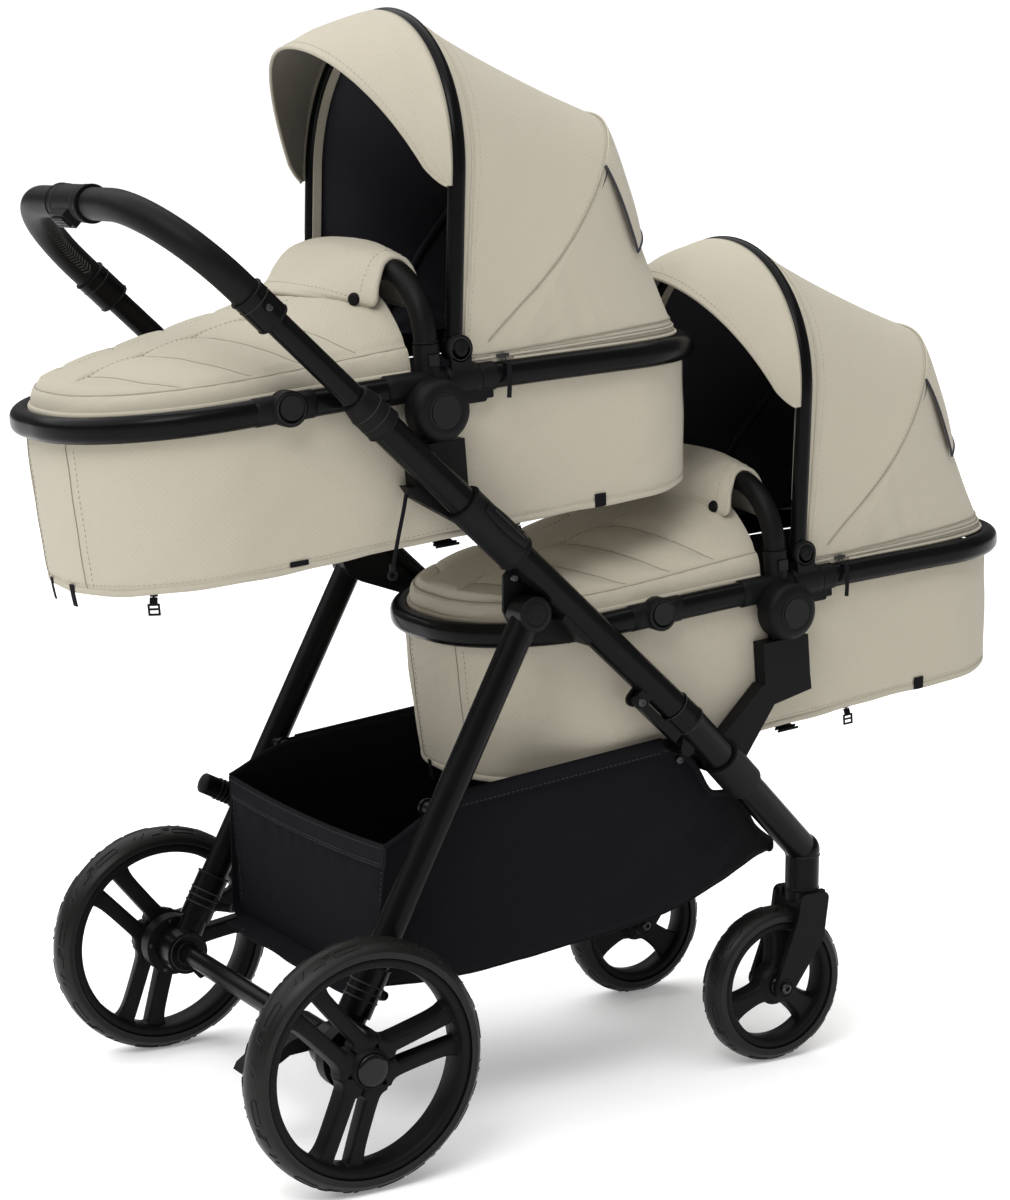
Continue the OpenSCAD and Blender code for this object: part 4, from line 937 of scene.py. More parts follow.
def plump(piece, cap, voxel, pressure=4.0, frames=20):
    """Swells a closed pad as cloth under pressure, no point further than cap."""
    before = piece.modifiers.new("remesh", "REMESH")
    before.mode = "VOXEL"
    before.voxel_size = voxel
    apply_modifiers(piece)
    rest = read_points(piece.data)
    cloth = piece.modifiers.new("cloth", "CLOTH")
    cloth.settings.use_pressure = True
    cloth.settings.uniform_pressure_force = pressure
    cloth.settings.effector_weights.gravity = 0
    cloth.settings.quality = 4
    cloth.point_cache.frame_start, cloth.point_cache.frame_end = 1, frames
    scene = bpy.context.scene
    for number in range(1, frames + 1):
        scene.frame_set(number)
    apply_modifiers(piece)
    scene.frame_set(1)
    moved = read_points(piece.data) - rest
    far = np.linalg.norm(moved, axis=1, keepdims=True)
    write_points(piece.data, rest + moved * np.minimum(1, cap / np.maximum(far, 1e-9)))


def apply_modifiers(piece):
    """Makes what the modifiers show the piece's own mesh."""
    shown = piece.evaluated_get(bpy.context.evaluated_depsgraph_get())
    mesh = bpy.data.meshes.new_from_object(shown)
    piece.modifiers.clear()
    piece.data = mesh


def read_points(mesh):
    """A mesh's points as rows."""
    flat = np.empty(3 * len(mesh.vertices))
    mesh.vertices.foreach_get("co", flat)
    return flat.reshape(-1, 3)


def write_points(mesh, points):
    """Moves a mesh's points to these rows."""
    mesh.vertices.foreach_set("co", points.ravel())
    mesh.update()


def make_mattress(cot, twin):
    """Padded mattress with a piped edge; the second cot takes the first one's swollen form."""
    if twin is None:
        rows = mattress_rows(160)
        low = drawn_in(rows[0], 0.02, 0.55)
        low[:, 2] = tub_floor(low[:, 0]) + PAD_LOW
        body = Cut().grid(cot.at(np.concatenate([low[None], rows])), True, True)
        pad = body.piece(f"{cot.name}_mattress_pad", cot.body, "mattress_fabric", ["mattress"])
        plump(pad, 0.004, 0.006)
        pad.data.materials.clear()
        pad.data.materials.append(finish("mattress"))
        pad.data.shade_smooth()
        box_lay(pad.data)
    else:
        source, start = twin
        mesh = source.data.copy()
        write_points(mesh, read_points(mesh) + (cot.hub - start.hub))
        pad = bpy.data.objects.new(f"{cot.name}_mattress_pad", mesh)
        bpy.context.scene.collection.objects.link(pad)
        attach(pad, cot.body)
    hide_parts(f"{cot.name}_mattress")
    loop = outline(27, 240)
    loop = np.column_stack([loop, tub_floor(loop[:, 0]) + PAD_EDGE + 0.5])
    piping = Cut().tube(cot.at(loop), 0.0018, 8, closed=True)
    piping.piece(f"{cot.name}_mattress_piping", cot.body, "mattress_fabric", ["lining"])
    return pad, cot


def box_lay(mesh):
    """Cloth coordinates from above, for a mesh that has none."""
    layer = mesh.uv_layers.get("cloth") or mesh.uv_layers.new(name="cloth")
    points = read_points(mesh)
    corner = np.empty(len(mesh.loops), np.int32)
    mesh.loops.foreach_get("vertex_index", corner)
    layer.data.foreach_set("uv", points[corner][:, :2].astype(np.float32).ravel())


# Apron

def apron_half(x):
    """Half width of the apron, round at the foot."""
    u = np.clip(APRON_FOOT + FOOT_ARC - np.asarray(x, float), 0, FOOT_ARC)
    return APRON_EDGE - FOOT_ARC + np.sqrt(FOOT_ARC * FOOT_ARC - u * u)


def apron_inset(x, y):
    """Distance in from the apron's outline."""
    u = np.maximum(0, APRON_FOOT + FOOT_ARC - x)
    v = np.maximum(0, np.abs(y) - (APRON_EDGE - FOOT_ARC))
    return np.where(u > 0, FOOT_ARC - np.hypot(u, v), APRON_EDGE - np.abs(y))


def channel_x(k, y):
    """Place of the sewn channel k at a distance y from the middle line."""
    lean = ease(np.abs(y), [0, 40, 54, 111, 149, 162, 170], [-14, -6, 0, 24, 58, 80, 96])
    return CHANNEL_FROM + k * CHANNEL_PITCH + lean


def dent(distance, width):
    """1 on a sewn line, falling to 0 within about twice the width beside it."""
    return np.exp(-((distance / width) ** 2))


def apron_at(x, y, puff):
    """Point of the apron's upper face: a band on the rim, a padded top and sewn channels."""
    x, y = np.broadcast_arrays(np.asarray(x, float), np.asarray(y, float))
    e = apron_inset(x, y)
    on = np.clip(e / BAND_IN, 0, 1)
    stand = BAND_UP + ease(x, [APRON_FOOT, -217, APRON_BACK], [0, 0, 8])
    pucker = 0.55 * np.sin(0.21 * (x - 1.3 * np.abs(y)) + 3 * ripple(x / 60, y / 60, 4)) * np.sin(np.pi * on)
    band = stand * np.sqrt(np.clip(1 - (1 - on) ** 2, 0, 1)) + pucker
    q = np.clip(np.abs(y) / np.maximum(apron_half(x) - BAND_IN, 1), 0, 1)
    inside = np.clip((e - BAND_IN) / 6, 0, 1)
    ridge = ease(x, [APRON_FOOT + 7, APRON_FOOT + 20, -249, -127, APRON_BACK], [0, 11, 33, 53, 70])
    step = (x - channel_x(0, y)) / CHANNEL_PITCH
    near = np.abs(step - np.clip(np.round(step), 0, CHANNELS - 1)) * CHANNEL_PITCH * 0.72
    sewn = smooth_step(np.abs(y), PANEL_HALF - 2, PANEL_HALF + 2) * smooth_step(e, BAND_IN + 1, BAND_IN + 6)
    puff = puff * (1 - 0.6 * smooth_step(y, -25, 35))
    swell = puff * (1 - dent(near, 12) * sewn) - 1.7 * dent(near, 2.4) * sewn
    line = 0.9 * dent(np.abs(y) - PANEL_HALF, 1.6) + 0.8 * dent(e - BAND_IN, 1.8)
    soft = 0.8 * ripple(x / 70, y / 60, 5)
    z = RIM_TOP - 1 + band + (ridge * (1 - q**3.4) + swell - line + soft) * inside
    return np.stack([x, y, z], -1)


def flap_at(u, v, tucked):
    """Point of the flap: u from its free edge over the bumper to its rear, v across; tucked draws it back."""
    u, v = np.broadcast_arrays(np.asarray(u, float), np.asarray(v, float))
    at = np.array((0, 0.1, 0.24, 0.4, 0.55, 0.67, 0.78, 0.89, 1.0))
    middle = np.array([(-84, 133), (-71, 143), (-47, 164), (-17, 181), (6, 184),
                       (22, 176), (29, 158), (31, 135), (31, 112)], float)
    if tucked:
        middle[:4] += (35, 0), (27, -1), (13, -4), (4, -5)
    ends = np.array([(-32, 112), (-29, 121), (-24, 141), (-12, 161), (4, 168),
                     (18, 164), (26, 150), (29, 128), (30, 104)])
    share = np.abs(v) ** 2.6
    x, z = (ease(u, at, middle[:, k]) * (1 - share) + ease(u, at, ends[:, k]) * share for k in (0, 1))
    half = ease(u, [0, 0.05, 0.12, 0.3, 0.5, 0.66, 0.85, 1], [116, 129, 132, 127, 121, 124, 131, 130])
    fold = np.sin(np.pi * np.clip(u / 0.62, 0, 1)) * np.abs(v) ** 1.5
    x = x - 3.2 * fold * ripple(5 * v, 2.2 * u, 8) - 2.0 * np.sin(np.pi * u) * ripple(3 * v, 3 * u, 9)
    z = z + 2.2 * fold * np.sin(9 * v + 5 * u)
    return np.stack([x, half * v, z], -1)


def make_apron(cot):
    """Quilted cover from the foot to the bumper."""
    puff = settings().cloth.puff / MM
    x = np.concatenate([
        APRON_FOOT + 10 * np.linspace(0, 1, 12) ** 1.4, np.linspace(APRON_FOOT + 11.8, APRON_BACK, 205)])
    t = np.linspace(-1, 1, 163)
    q = np.sign(t) * (1 - (1 - np.abs(t)) ** 1.35)
    top = cot.at(apron_at(x[:, None], q * apron_half(x)[:, None], puff))
    body = Cut().shell(top, 0.0065, cot.at((-150, 0, -60)), marks=(0, 1))
    apron = body.piece(f"{cot.name}_apron_cover", cot.body, "stone_fabric", ["stone", "lining"])
    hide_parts(f"{cot.name}_apron")
    make_apron_seams(cot, puff)
    make_flap(cot)


def make_apron_seams(cot, puff):
    """Piping along the apron's band, stitches beside its middle panel and the seams of its channels."""
    piping = settings().cloth.piping
    trim = Cut()

    def on_top(x, y, lift):
        """A line on the cover and its normals."""
        along = apron_at(x + 0.8, y, puff) - apron_at(x - 0.8, y, puff)
        across = apron_at(x, y + 0.8, puff) - apron_at(x, y - 0.8, puff)
        n = unit(np.cross(along, across))
        line = apron_at(x, y, puff) + n * lift
        return cot.at(line), unit(cot.at(line + n) - cot.at(line))

    turn = np.radians(np.linspace(0, 90, 60))
    r, centre = FOOT_ARC - BAND_IN, (APRON_FOOT + FOOT_ARC, APRON_EDGE - FOOT_ARC)
    arc = np.column_stack([centre[0] - r * np.sin(turn), centre[1] + r * np.cos(turn)])
    straight = np.column_stack([np.linspace(APRON_BACK, centre[0], 60), np.full(60, APRON_EDGE - BAND_IN)])
    edge = np.vstack([straight, arc[1:], arc[-2::-1] * (1, -1), straight[-2::-1] * (1, -1)])
    # piping along the band in the dark stone: painted shade where the band meets the top
    trim.tube(on_top(edge[:, 0], edge[:, 1], 0.1)[0], piping * 0.8, 8, mark=2)
    run = np.linspace(APRON_FOOT + 24, -86, 120)
    y = np.linspace(PANEL_HALF + 2, APRON_EDGE - BAND_IN - 3, 70)
    for side in (1, -1):
        line, n = on_top(run, np.full(120, side * PANEL_HALF), 0.25)
        trim.stitches(line, n, QUILT_STITCH, lift=0.2 * MM)
        for k in range(CHANNELS):
            x = channel_x(k, y)
            keep = (apron_inset(x, y) > BAND_IN + 4) & (x < APRON_BACK - 4)
            # channel seams in the dark stone: painted shade in the sewn valleys
            trim.tube(on_top(x[keep], side * y[keep], 0.0)[0], 0.0006, 6, mark=2)
    trim.piece(f"{cot.name}_apron_seams", cot.body, "stone_fabric", SEAM_FINISHES)


def make_flap(cot):
    """Padded flap of the apron that folds over the bumper bar, with its hem and snaps."""
    u, v = np.linspace(0, 1, 64), np.linspace(-1, 1, 91)
    points = cot.at(flap_at(u[:, None], v[None], cot.name == "lower"))
    heart = cot.at((4, 0, 120))
    body = Cut().shell(points, 0.006, heart)
    flap = body.piece(f"{cot.name}_apron_flap", cot.body, "stone_fabric", ["stone"])
    normals = grid_normals(points)
    normals = normals * np.sign(np.einsum("ijk,ijk->ij", normals, points - heart).mean())
    trim = Cut()
    loop, out = (np.concatenate([k[0], k[1:, -1], k[-1, -2::-1], k[-2:0:-1, 0]]) for k in (points, normals))
    trim.tube(loop - out * 0.003, 0.0034, 10, closed=True)
    # inner cord in the dark stone: painted shade along the hem's edge
    trim.tube(loop - out * 0.0062, 0.0012, 6, closed=True, mark=2)
    inner = slice(5, -5)
    for row in ((5, inner), (-6, inner), (inner, 5), (inner, -6)):
        path, n = points[row], normals[row]
        trim.stitches(path + n * 0.0002, n, QUILT_STITCH)
    trim.piece(f"{cot.name}_flap_seams", cot.body, "stone_fabric", SEAM_FINISHES)
    snaps = Cut()
    dome = [(0.0001, 0.0024), (0.0045, 0.0023), (0.0066, 0.0014), (0.0074, -0.0005)]
    for column in (6, -7):
        n = normals[4, column]
        snaps.turned(dome, points[4, column], n, np.cross(n, (1.0, 0.0, 0.0)), 28)
    snaps.piece(f"{cot.name}_apron_snaps", cot.body, "black_plastic", ["plastic"])


def make_bumper_cover(cot):
    """Stitched leather sleeve over the bumper's foam."""
    turn = np.radians(np.linspace(0, 90, 24))
    bend = np.column_stack([
        np.full(24, BUMPER_X), BUMPER_Y - BUMPER_CORNER + BUMPER_CORNER * np.cos(turn),
        BUMPER_TOP - BUMPER_CORNER + BUMPER_CORNER * np.sin(turn)])
    half = np.vstack([[[BUMPER_X, BUMPER_Y, RIM_TOP + 31]], bend])
    path = even(np.vstack([half, half[::-1] * (1, -1, 1)]), 120)
    sleeve = Cut().tube(cot.at(path), (BUMPER_R + 0.5) * MM, 28)
    for end in (path[0], path[-1]):
        ring = [end + ((BUMPER_R + 0.7) * math.cos(a), (BUMPER_R + 0.7) * math.sin(a), 1.4)
                for a in np.linspace(0, 6.1, 30)]
        sleeve.tube(cot.at(np.array(ring)), 0.0012, 8, closed=True)
    below = np.array((BUMPER_X, 0, 40))
    inner = path + unit(below - path) * (BUMPER_R + 0.6)
    facing = unit(cot.at(below) - cot.at(path))
    sleeve.stitches(cot.at(inner), facing, LEATHER_STITCH, pitch=0.006)
    made = sleeve.piece(f"{cot.name}_bumper_sleeve", cot.body, "grip_leather", ["leather", "thread"])


# Canopy

def hoop(v, foot, top, power):
    """Half an oval over the cot, from its left foot (0) to its right one (1)."""
    a = np.pi * np.asarray(v, float)
    c = np.sign(np.cos(a)) * np.abs(np.cos(a)) ** power
    s = np.sin(a) ** power
    return np.stack([foot + (top[0] - foot) * s, CANOPY_HALF * c, HEM_Z + (top[1] - HEM_Z) * s], -1)


def arch_edge(v):
    """The canopy's front edge, on the arch's tube, matched to a hoop by its share of the way round."""
    fine = np.linspace(0, 1, 601)
    way = run_of(hoop(fine, *ARCH_HOOP))
    turn = np.linspace(0, np.pi, 181)
    straight, r = ARCH_H - ARCH_HALF, CANOPY_HALF
    bow = np.column_stack([r * np.cos(turn), straight + r * np.sin(turn)])
    line = even(np.vstack([[(r, HEM_Z - PIVOT[1])], bow, [(-r, HEM_Z - PIVOT[1])]]), 601)
    share = np.interp(v, fine, way / way[-1])
    y, z = (np.interp(share, fine, line[:, k]) for k in range(2))
    c, s = math.cos(ARCH_LEAN), math.sin(ARCH_LEAN)
    behind = 7
    return np.stack([PIVOT[0] + behind * c + z * s, y, PIVOT[1] - behind * s + z * c], -1)


def canopy_at(f, v, depth=0.0, sag=None):
    """Point of the canopy: f from the hem (0) over the rear hoop (1) to the arch (2)."""
    f, v = np.broadcast_arrays(np.asarray(f, float), np.asarray(v, float))
    a, b, c = arch_edge(v), hoop(v, *HEM_HOOP), hoop(v, *REAR_HOOP)
    frac = np.where(f < 1, f, f - 1)
    share = frac[..., None]
    p = np.where(f[..., None] < 1, b + (c - b) * share, c + (a - c) * share)
    to_heart = unit(CANOPY_HEART - p)
    sag = settings().cloth.sag / MM if sag is None else sag
    halfway = np.sin(np.pi * np.clip(frac, 0, 1))
    draw = sag * halfway * np.sin(np.pi * v) ** 0.4
    pull = 1.1 * ripple(6 * v, 2 * f, 21) * halfway
    by_foot = dent(np.minimum(v, 1 - v) - 0.05, 0.04) * smooth_step(f, 0.05, 0.4)
    foot = 1.5 * np.sin(150 * v + 9 * f) * by_foot
    p = p + to_heart * (depth + draw + pull + foot)[..., None]
    p[..., 2] = np.maximum(p[..., 2], HEM_Z - 0.5)
    return p


def canopy_columns(count):
    """Values of v that lie at even distances along the rear hoop."""
    v = np.linspace(0, 1, 801)
    far = run_of(hoop(v, *REAR_HOOP))
    return np.interp(np.linspace(0, far[-1], count), far, v)


def hem_line(height):
    """Canopy coordinates of a line at a height over the hem, lower at the arch's feet."""
    v = 0.5 * np.linspace(0.02, 1, 150) ** 3
    f = np.linspace(0.005, 1.96, 400)
    p = canopy_at(f[:, None], v[None], sag=0)
    rise = np.maximum.accumulate(p[..., 2], 0) - HEM_Z
    up = np.full(len(v), float(height))
    for _ in range(3):
        at = np.array([np.interp(up[k], rise[:, k], f) for k in range(len(v))])
        x = np.array([np.interp(at[k], f, p[:, k, 0]) for k in range(len(v))])
        up = height * (0.55 + 0.45 * smooth_step(x, 80, 330))
    keep = rise[-1] > up
    f, v = at[keep], v[keep]
    return np.concatenate([f, f[-2::-1]]), np.concatenate([v, 1 - v[-2::-1]])


def make_canopy(cot):
    """Canopy cloth and its lining, drawn over three hoops, with all that is sewn to them."""
    columns = canopy_columns(121)
    rows = np.concatenate([np.linspace(0, 0.94, 34), np.linspace(0.96, 1.04, 7), np.linspace(1.06, 2.0, 36)])
    heart = cot.at(CANOPY_HEART)
    outer = cot.at(canopy_at(rows[:, None], columns[None]))
    canopy = Cut().shell(outer, 0.0018, heart, marks=(0, 1)).piece(
        f"{cot.name}_canopy_cloth", None, "stone_fabric", ["stone", "lining"])
    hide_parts(f"{cot.name}_canopy")
    inner = cot.at(canopy_at(rows[2:-1, None], columns[None, 2:-2], depth=3.4))
    lining = Cut().shell(inner, 0.001, heart).piece(
        f"{cot.name}_canopy_lining", None, "basket_fabric", ["lining"])
    seams = make_canopy_seams(cot, columns)
    flap, flap_points, piping = make_vent(cot, heart)
    sleeve = make_hoop_sleeve(cot, columns[3:-3], heart)
    start, end = cot.at((300, 0, 60)), cot.at((92, 0, 250))
    for made in (canopy, lining, seams, flap, piping, sleeve):
        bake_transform(made)
        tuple(start)
        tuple(end)
    declare_cloth(canopy, outer)
    declare_cloth(lining, inner)
    declare_cloth(flap, flap_points)
    make_zip_pull(cot)


def make_canopy_seams(cot, columns):
    """Seam over the rear hoop, hem with its zip, and the binding along the arch."""
    trim = Cut()

    def on_cloth(f, v, proud=0.4):
        """A line on the canopy and its normals."""
        p = canopy_at(f, v)
        d = unit(p - CANOPY_HEART)
        return cot.at(p + d * proud), unit(cot.at(p + d) - cot.at(p))

    def sew(f, v):
        """A row of stitches on the canopy."""
        trim.stitches(*on_cloth(f, v, 0.2), FINE_STITCH)

    fine = columns[4:-4]
    seam = 1.0 + 0.75 * np.exp(-np.minimum(fine, 1 - fine) / 0.035)
    # seam over the rear hoop in the dark stone: painted shade
    trim.tube(on_cloth(seam, fine)[0], 0.0009, 8, mark=2)
    sew(seam + 0.02, fine)
    # lines with mark 2 are in the dark stone: painted shade in the hem's seams
    for height, radius, mark in (
            (2.4, 0.0023, 0), (7, 0.0009, 2), (11, 0.0015, 0), (13.5, 0.0008, 2), (20, 0.001, 2)):
        trim.tube(even(on_cloth(*hem_line(height))[0], 400), radius, 8, mark=mark)
    for height in (5, 17.5):
        sew(*hem_line(height))
    trim.tube(on_cloth(1.93, columns[1:-1], 0.3)[0], 0.0019, 8)
    sew(1.87, columns[3:-3])
    return trim.piece(f"{cot.name}_canopy_seams", None, "stone_fabric", SEAM_FINISHES)


def make_vent(cot, heart):
    """Flap over the vent behind the rear hoop, with its piping."""
    v, f = np.linspace(0.245, 0.755, 61), np.linspace(1.0, 0.5, 22)
    belly = 8.5 * np.sin(np.pi * np.linspace(0.02, 0.9, 22)) ** 0.6
    p = canopy_at(f[:, None], v[None])
    points = cot.at(p + unit(p - CANOPY_HEART) * (1.2 + belly[:, None, None]))
    flap = Cut().shell(points, 0.002, heart).piece(f"{cot.name}_vent_flap", None, "stone_fabric", ["stone"])
    edge = np.concatenate([points[:, 0], points[-1, 1:], points[::-1, -1][1:]])
    piping = Cut().tube(edge, 0.0017, 8).piece(f"{cot.name}_vent_piping", None, "black_plastic", ["lining"])
    return flap, points, piping


def make_hoop_sleeve(cot, columns, heart):
    """Sleeve of lining that holds the rear hoop, sewn along both sides."""
    sleeve = Cut()
    line = cot.at(canopy_at(1.0, columns, depth=7.5))
    sleeve.tube(line, 0.0075, 14, flat=0.45, up=unit(heart - line))
    for shift in (-0.035, 0.035):
        line = cot.at(canopy_at(1.0 + shift, columns, depth=6.2))
        sleeve.stitches(line, unit(heart - line), FINE_STITCH, mark=0)
    return sleeve.piece(f"{cot.name}_hoop_sleeve", None, "basket_fabric", ["lining"])


def make_zip_pull(cot):
    """Slider and pull of the hem's zip, on the right side by the arch's foot."""
    at = np.array((100.0, -CANOPY_HALF - 2.5, HEM_Z + 7))
    metal, pull = Cut(), Cut()
    for dx, r in ((-5, 2.2), (0, 2.8), (5, 2.2)):
        line = np.array([at + (dx - 2.6, -1.5, 0), at + (dx, -2.5, 0.4), at + (dx + 2.6, -1.5, 0)])
        metal.tube(cot.at(line), r * MM, 10)
    ring = [at + (3 * math.cos(a), -4, -4 + 4 * math.sin(a)) for a in np.linspace(0, 5.9, 18)]
    metal.tube(cot.at(np.array(ring)), 0.0008, 8, closed=True)
    tab = at + np.array([
        (0, -4, -7), (0, -9, -8), (0, -15.5, -8), (-1, -17.5, -20), (-3, -18.5, -33), (-5, -19, -46)])
    pull.tube(cot.at(even(tab, 20)), 0.003, 10, flat=0.4, up=ACROSS)
    metal.piece(f"{cot.name}_zip_slider", cot.body, "black_plastic", ["steel"])
    pull.piece(f"{cot.name}_zip_pull", cot.body, "black_plastic", ["webbing"])


# Visor

def visor_at(a, k, radius):
    """Point of the visor: a in degrees round the arch, k from the arch (0) to the lip (1)."""
    a, k = np.broadcast_arrays(np.asarray(a, float), np.asarray(k, float))
    reach, past, slope, droop, taper = 112.0, 13, 0.26, 0.0014, 0.003
    straight = ARCH_H - ARCH_HALF
    turn = np.radians(np.clip(a, 0, 180))
    below = np.radians(np.maximum(np.maximum(-a, a - 180), 0)) * radius
    y = radius * np.cos(turn)
    z = straight + radius * np.sin(turn) - below
    end = np.minimum(a, 180 - a)
    rounded = np.sqrt(np.clip(1 - (np.maximum(0, 3 - end) / 7.2) ** 2, 0.01, 1))
    d = reach * np.maximum(0, np.sin(np.radians(90 * (end + past) / (90 + past)))) * rounded * k
    lift = np.maximum(0, np.sin(np.radians(a)))
    return np.stack([-ARCH_R - 0.5 - d, y * (1 - taper * d), z - d * (slope + droop * d) * lift], -1)


def make_visor(cot):
    """Stiffened cloth brim in front of the arch, with a rolled lip, and the strip inside the arch."""
    a = np.concatenate([np.linspace(-4, 4, 17)[:-1], np.linspace(4, 176, 131), np.linspace(176, 184, 17)[1:]])
    k = np.linspace(0, 1, 26)
    radius = ARCH_HALF + ARCH_R - 2
    top = visor_at(a[None], k[:, None], radius)
    root = visor_at(a, 0.0, ARCH_HALF + 5) + (ARCH_R - 7.9, 0, 0)
    top[0] = root
    wave = 1.2 * ripple(a[None] / 26, 2.4 * k[:, None], 31) * np.sin(np.pi * k)[:, None]
    points = cot.from_arch(top + unit(top * (0, 1, 1)) * wave[..., None])
    heart = cot.from_arch((-30, 0, 150))
    # the visor's inner face takes the darkened stone: painted shade under the brim
    visor = Cut().shell(points, 0.003, heart, marks=(0, 1)).piece(
        f"{cot.name}_visor_cloth", cot.arch, "stone_fabric", ["stone", "stone_underside_shade"])
    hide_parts(f"{cot.name}_visor")
    trim = Cut()
    trim.tube(cot.from_arch(visor_at(a, 1.0, radius - 1.5)), 0.0021, 10)
    # cord at the visor's root in the dark stone: painted shade where it meets the arch
    trim.tube(cot.from_arch(root + (-1, 0, 0)), 0.0015, 8, mark=2)
    row = cot.from_arch(visor_at(a[2:-2], 0.93, radius + 0.3))
    trim.stitches(row, unit(row - heart), FINE_STITCH)
    seam = trim.piece(f"{cot.name}_visor_seams", cot.arch, "stone_fabric", SEAM_FINISHES)
    under = visor_at(np.linspace(-44, 224, 161), 0.0, ARCH_HALF - ARCH_R - 0.6)
    band = cot.from_arch(np.array([under + (dx, 0, 0) for dx in np.linspace(5.5, 16.5, 5)]))
    strip = Cut().shell(band, 0.0012, cot.from_arch((8, 0, 600)))
    made = strip.piece(f"{cot.name}_arch_strip", cot.arch, "stone_fabric", ["stone"])
    declare_cloth(visor, points)
    declare_cloth(made, band)


# Frame: places along the rails, and its handle, wheels, basket and fittings

RAIL_UP = -np.array(next(j for j in frame["joints"] if j["name"] == "handle_slide")["axis"])
RAIL_OUT = np.array((RAIL_UP[2], 0.0, -RAIL_UP[0]))
AXLE = np.array((-ROW_MID, 0.0, REAR_AXLE_Z))
LEG_TOP = BUTT + 236.5 * RAIL_UP - 39.5 * RAIL_OUT
LEG_UP = unit(LEG_TOP - AXLE)
LEG_BACK = np.array((-LEG_UP[2], 0.0, LEG_UP[0]))
UPRIGHT = np.array((0.0, 0.0, 1.0))


def by_rail(s, n=0.0, y=0.0):
    """Points in metres from millimetres up the rails, square to them and across."""
    s, n, y = np.broadcast_arrays(*(np.asarray(k, float) for k in (s, n, y)))
    return (BUTT + s[..., None] * RAIL_UP + n[..., None] * RAIL_OUT + y[..., None] * ACROSS) * MM


def by_leg(up, y, out=0.0):
    """A point in metres from millimetres up a rear leg, across, and back from the leg's middle."""
    return (AXLE + up * LEG_UP + y * ACROSS + out * LEG_BACK) * MM


def make_handle_sleeve():
    """Leather sleeve with a cross-stitched seam along its inner line."""
    turn = np.radians(np.linspace(0, 90, 40))
    bend = np.column_stack([HANDLE_TOP - HANDLE_CORNER + HANDLE_CORNER * np.sin(turn),
                            RAIL_Y - HANDLE_CORNER + HANDLE_CORNER * np.cos(turn)])
    left = np.vstack([[(GRIP_LOW, RAIL_Y)], bend])
    plan = even(np.vstack([left, left[::-1] * (1, -1)]), 320)
    path = by_rail(plan[:, 0], 0, plan[:, 1])
    under_collar = np.abs(plan[:, 1]) < COLLAR_HALF
    sleeve = Cut().tube(path, (GRIP_R + 0.4 - 0.6 * under_collar) * MM, 36)
    ahead = unit(np.gradient(plan, axis=0))
    inward = ahead[:, 1:] * RAIL_UP - ahead[:, :1] * ACROSS
    far = run_of(path)

    def at(length, angle):
        """Points on the sleeve, an angle round from its inner line."""
        inner = unit(between(length, far, inward))
        angle = np.asarray(angle)[..., None]
        return between(length, far, path) + (GRIP_R + 0.55) * MM * (
            np.cos(angle) * inner + np.sin(angle) * RAIL_OUT)

    edge = far[np.argmax(under_collar)] - 0.003
    for start, end in ((0.004, edge), (far[-1] - edge, far[-1] - 0.004)):
        sleeve.tube(at(np.linspace(start, end, 90), np.zeros(90)), 0.0006, 6, mark=2)
        for place in np.arange(start + 0.004, end - 0.006, 0.0052):
            for side in (1, -1):
                slant = place + 0.0042 * np.linspace(0, 1, 5)
                sleeve.tube(at(slant, side * np.linspace(0.05, 0.36, 5)), 0.0008, 6, mark=1)
    made = sleeve.piece("handle_sleeve", "handle", "grip_leather", ["leather", "thread", "groove"])
    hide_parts("handle_grip")


def make_handle_trims():
    """Lips, grooves and screws of the housing and the ferrules, and the ribs of the trigger."""
    trim = Cut()
    middle = by_rail(HANDLE_TOP)
    for places, thick, mark in (((-43.2, 43.2), 0.0012, 0), ((-31, -28, 28, 31), 0.0007, 1)):
        for y in places:
            trim.ring(middle + y * MM * ACROSS, ACROSS, (GRIP_R + 2.9) * MM, thick, mark=mark)
    for side in (1, -1):
        for s, thick, mark in ((742.5, 0.0012, 0), (731, 0.0006, 1), (702, 0.001, 0)):
            trim.ring(by_rail(s, 0, side * RAIL_Y), RAIL_UP, 0.0199, thick, mark=mark)
        trim.bolt(by_rail(722, 0, side * (RAIL_Y + 24)), side * ACROSS, 0.0038, 0.0016, mark=2)
    trim.piece("handle_trims", "handle", "black_plastic", ["plastic", "groove", "steel"])
    ribs = Cut()
    for s in (-4.5, 0, 4.5):
        ribs.tube(by_rail(HANDLE_TOP + s, -GRIP_R - 12, np.linspace(-11, 11, 8)), 0.0008, 8)
    ribs.piece("trigger_ribs", "handle_trigger", "button_plastic", ["button"])


class Wheel:
    """One wheel's place and sizes, read from its tyre's solid; sizes in millimetres."""

    def __init__(self, end, side):
        self.end, self.side, self.rear = end, side, end == "rear"
        self.body = f"{end}_wheel_{side}"
        low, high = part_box(f"{end}_tyre_{side}")
        self.middle = np.array((low + high) / 2)
        self.out = ACROSS if side == "left" else -ACROSS
        self.r, self.w = (high.z - low.z) / 2 / MM, (high.y - low.y) / MM
        self.seat = self.r - (18 if self.rear else 17)


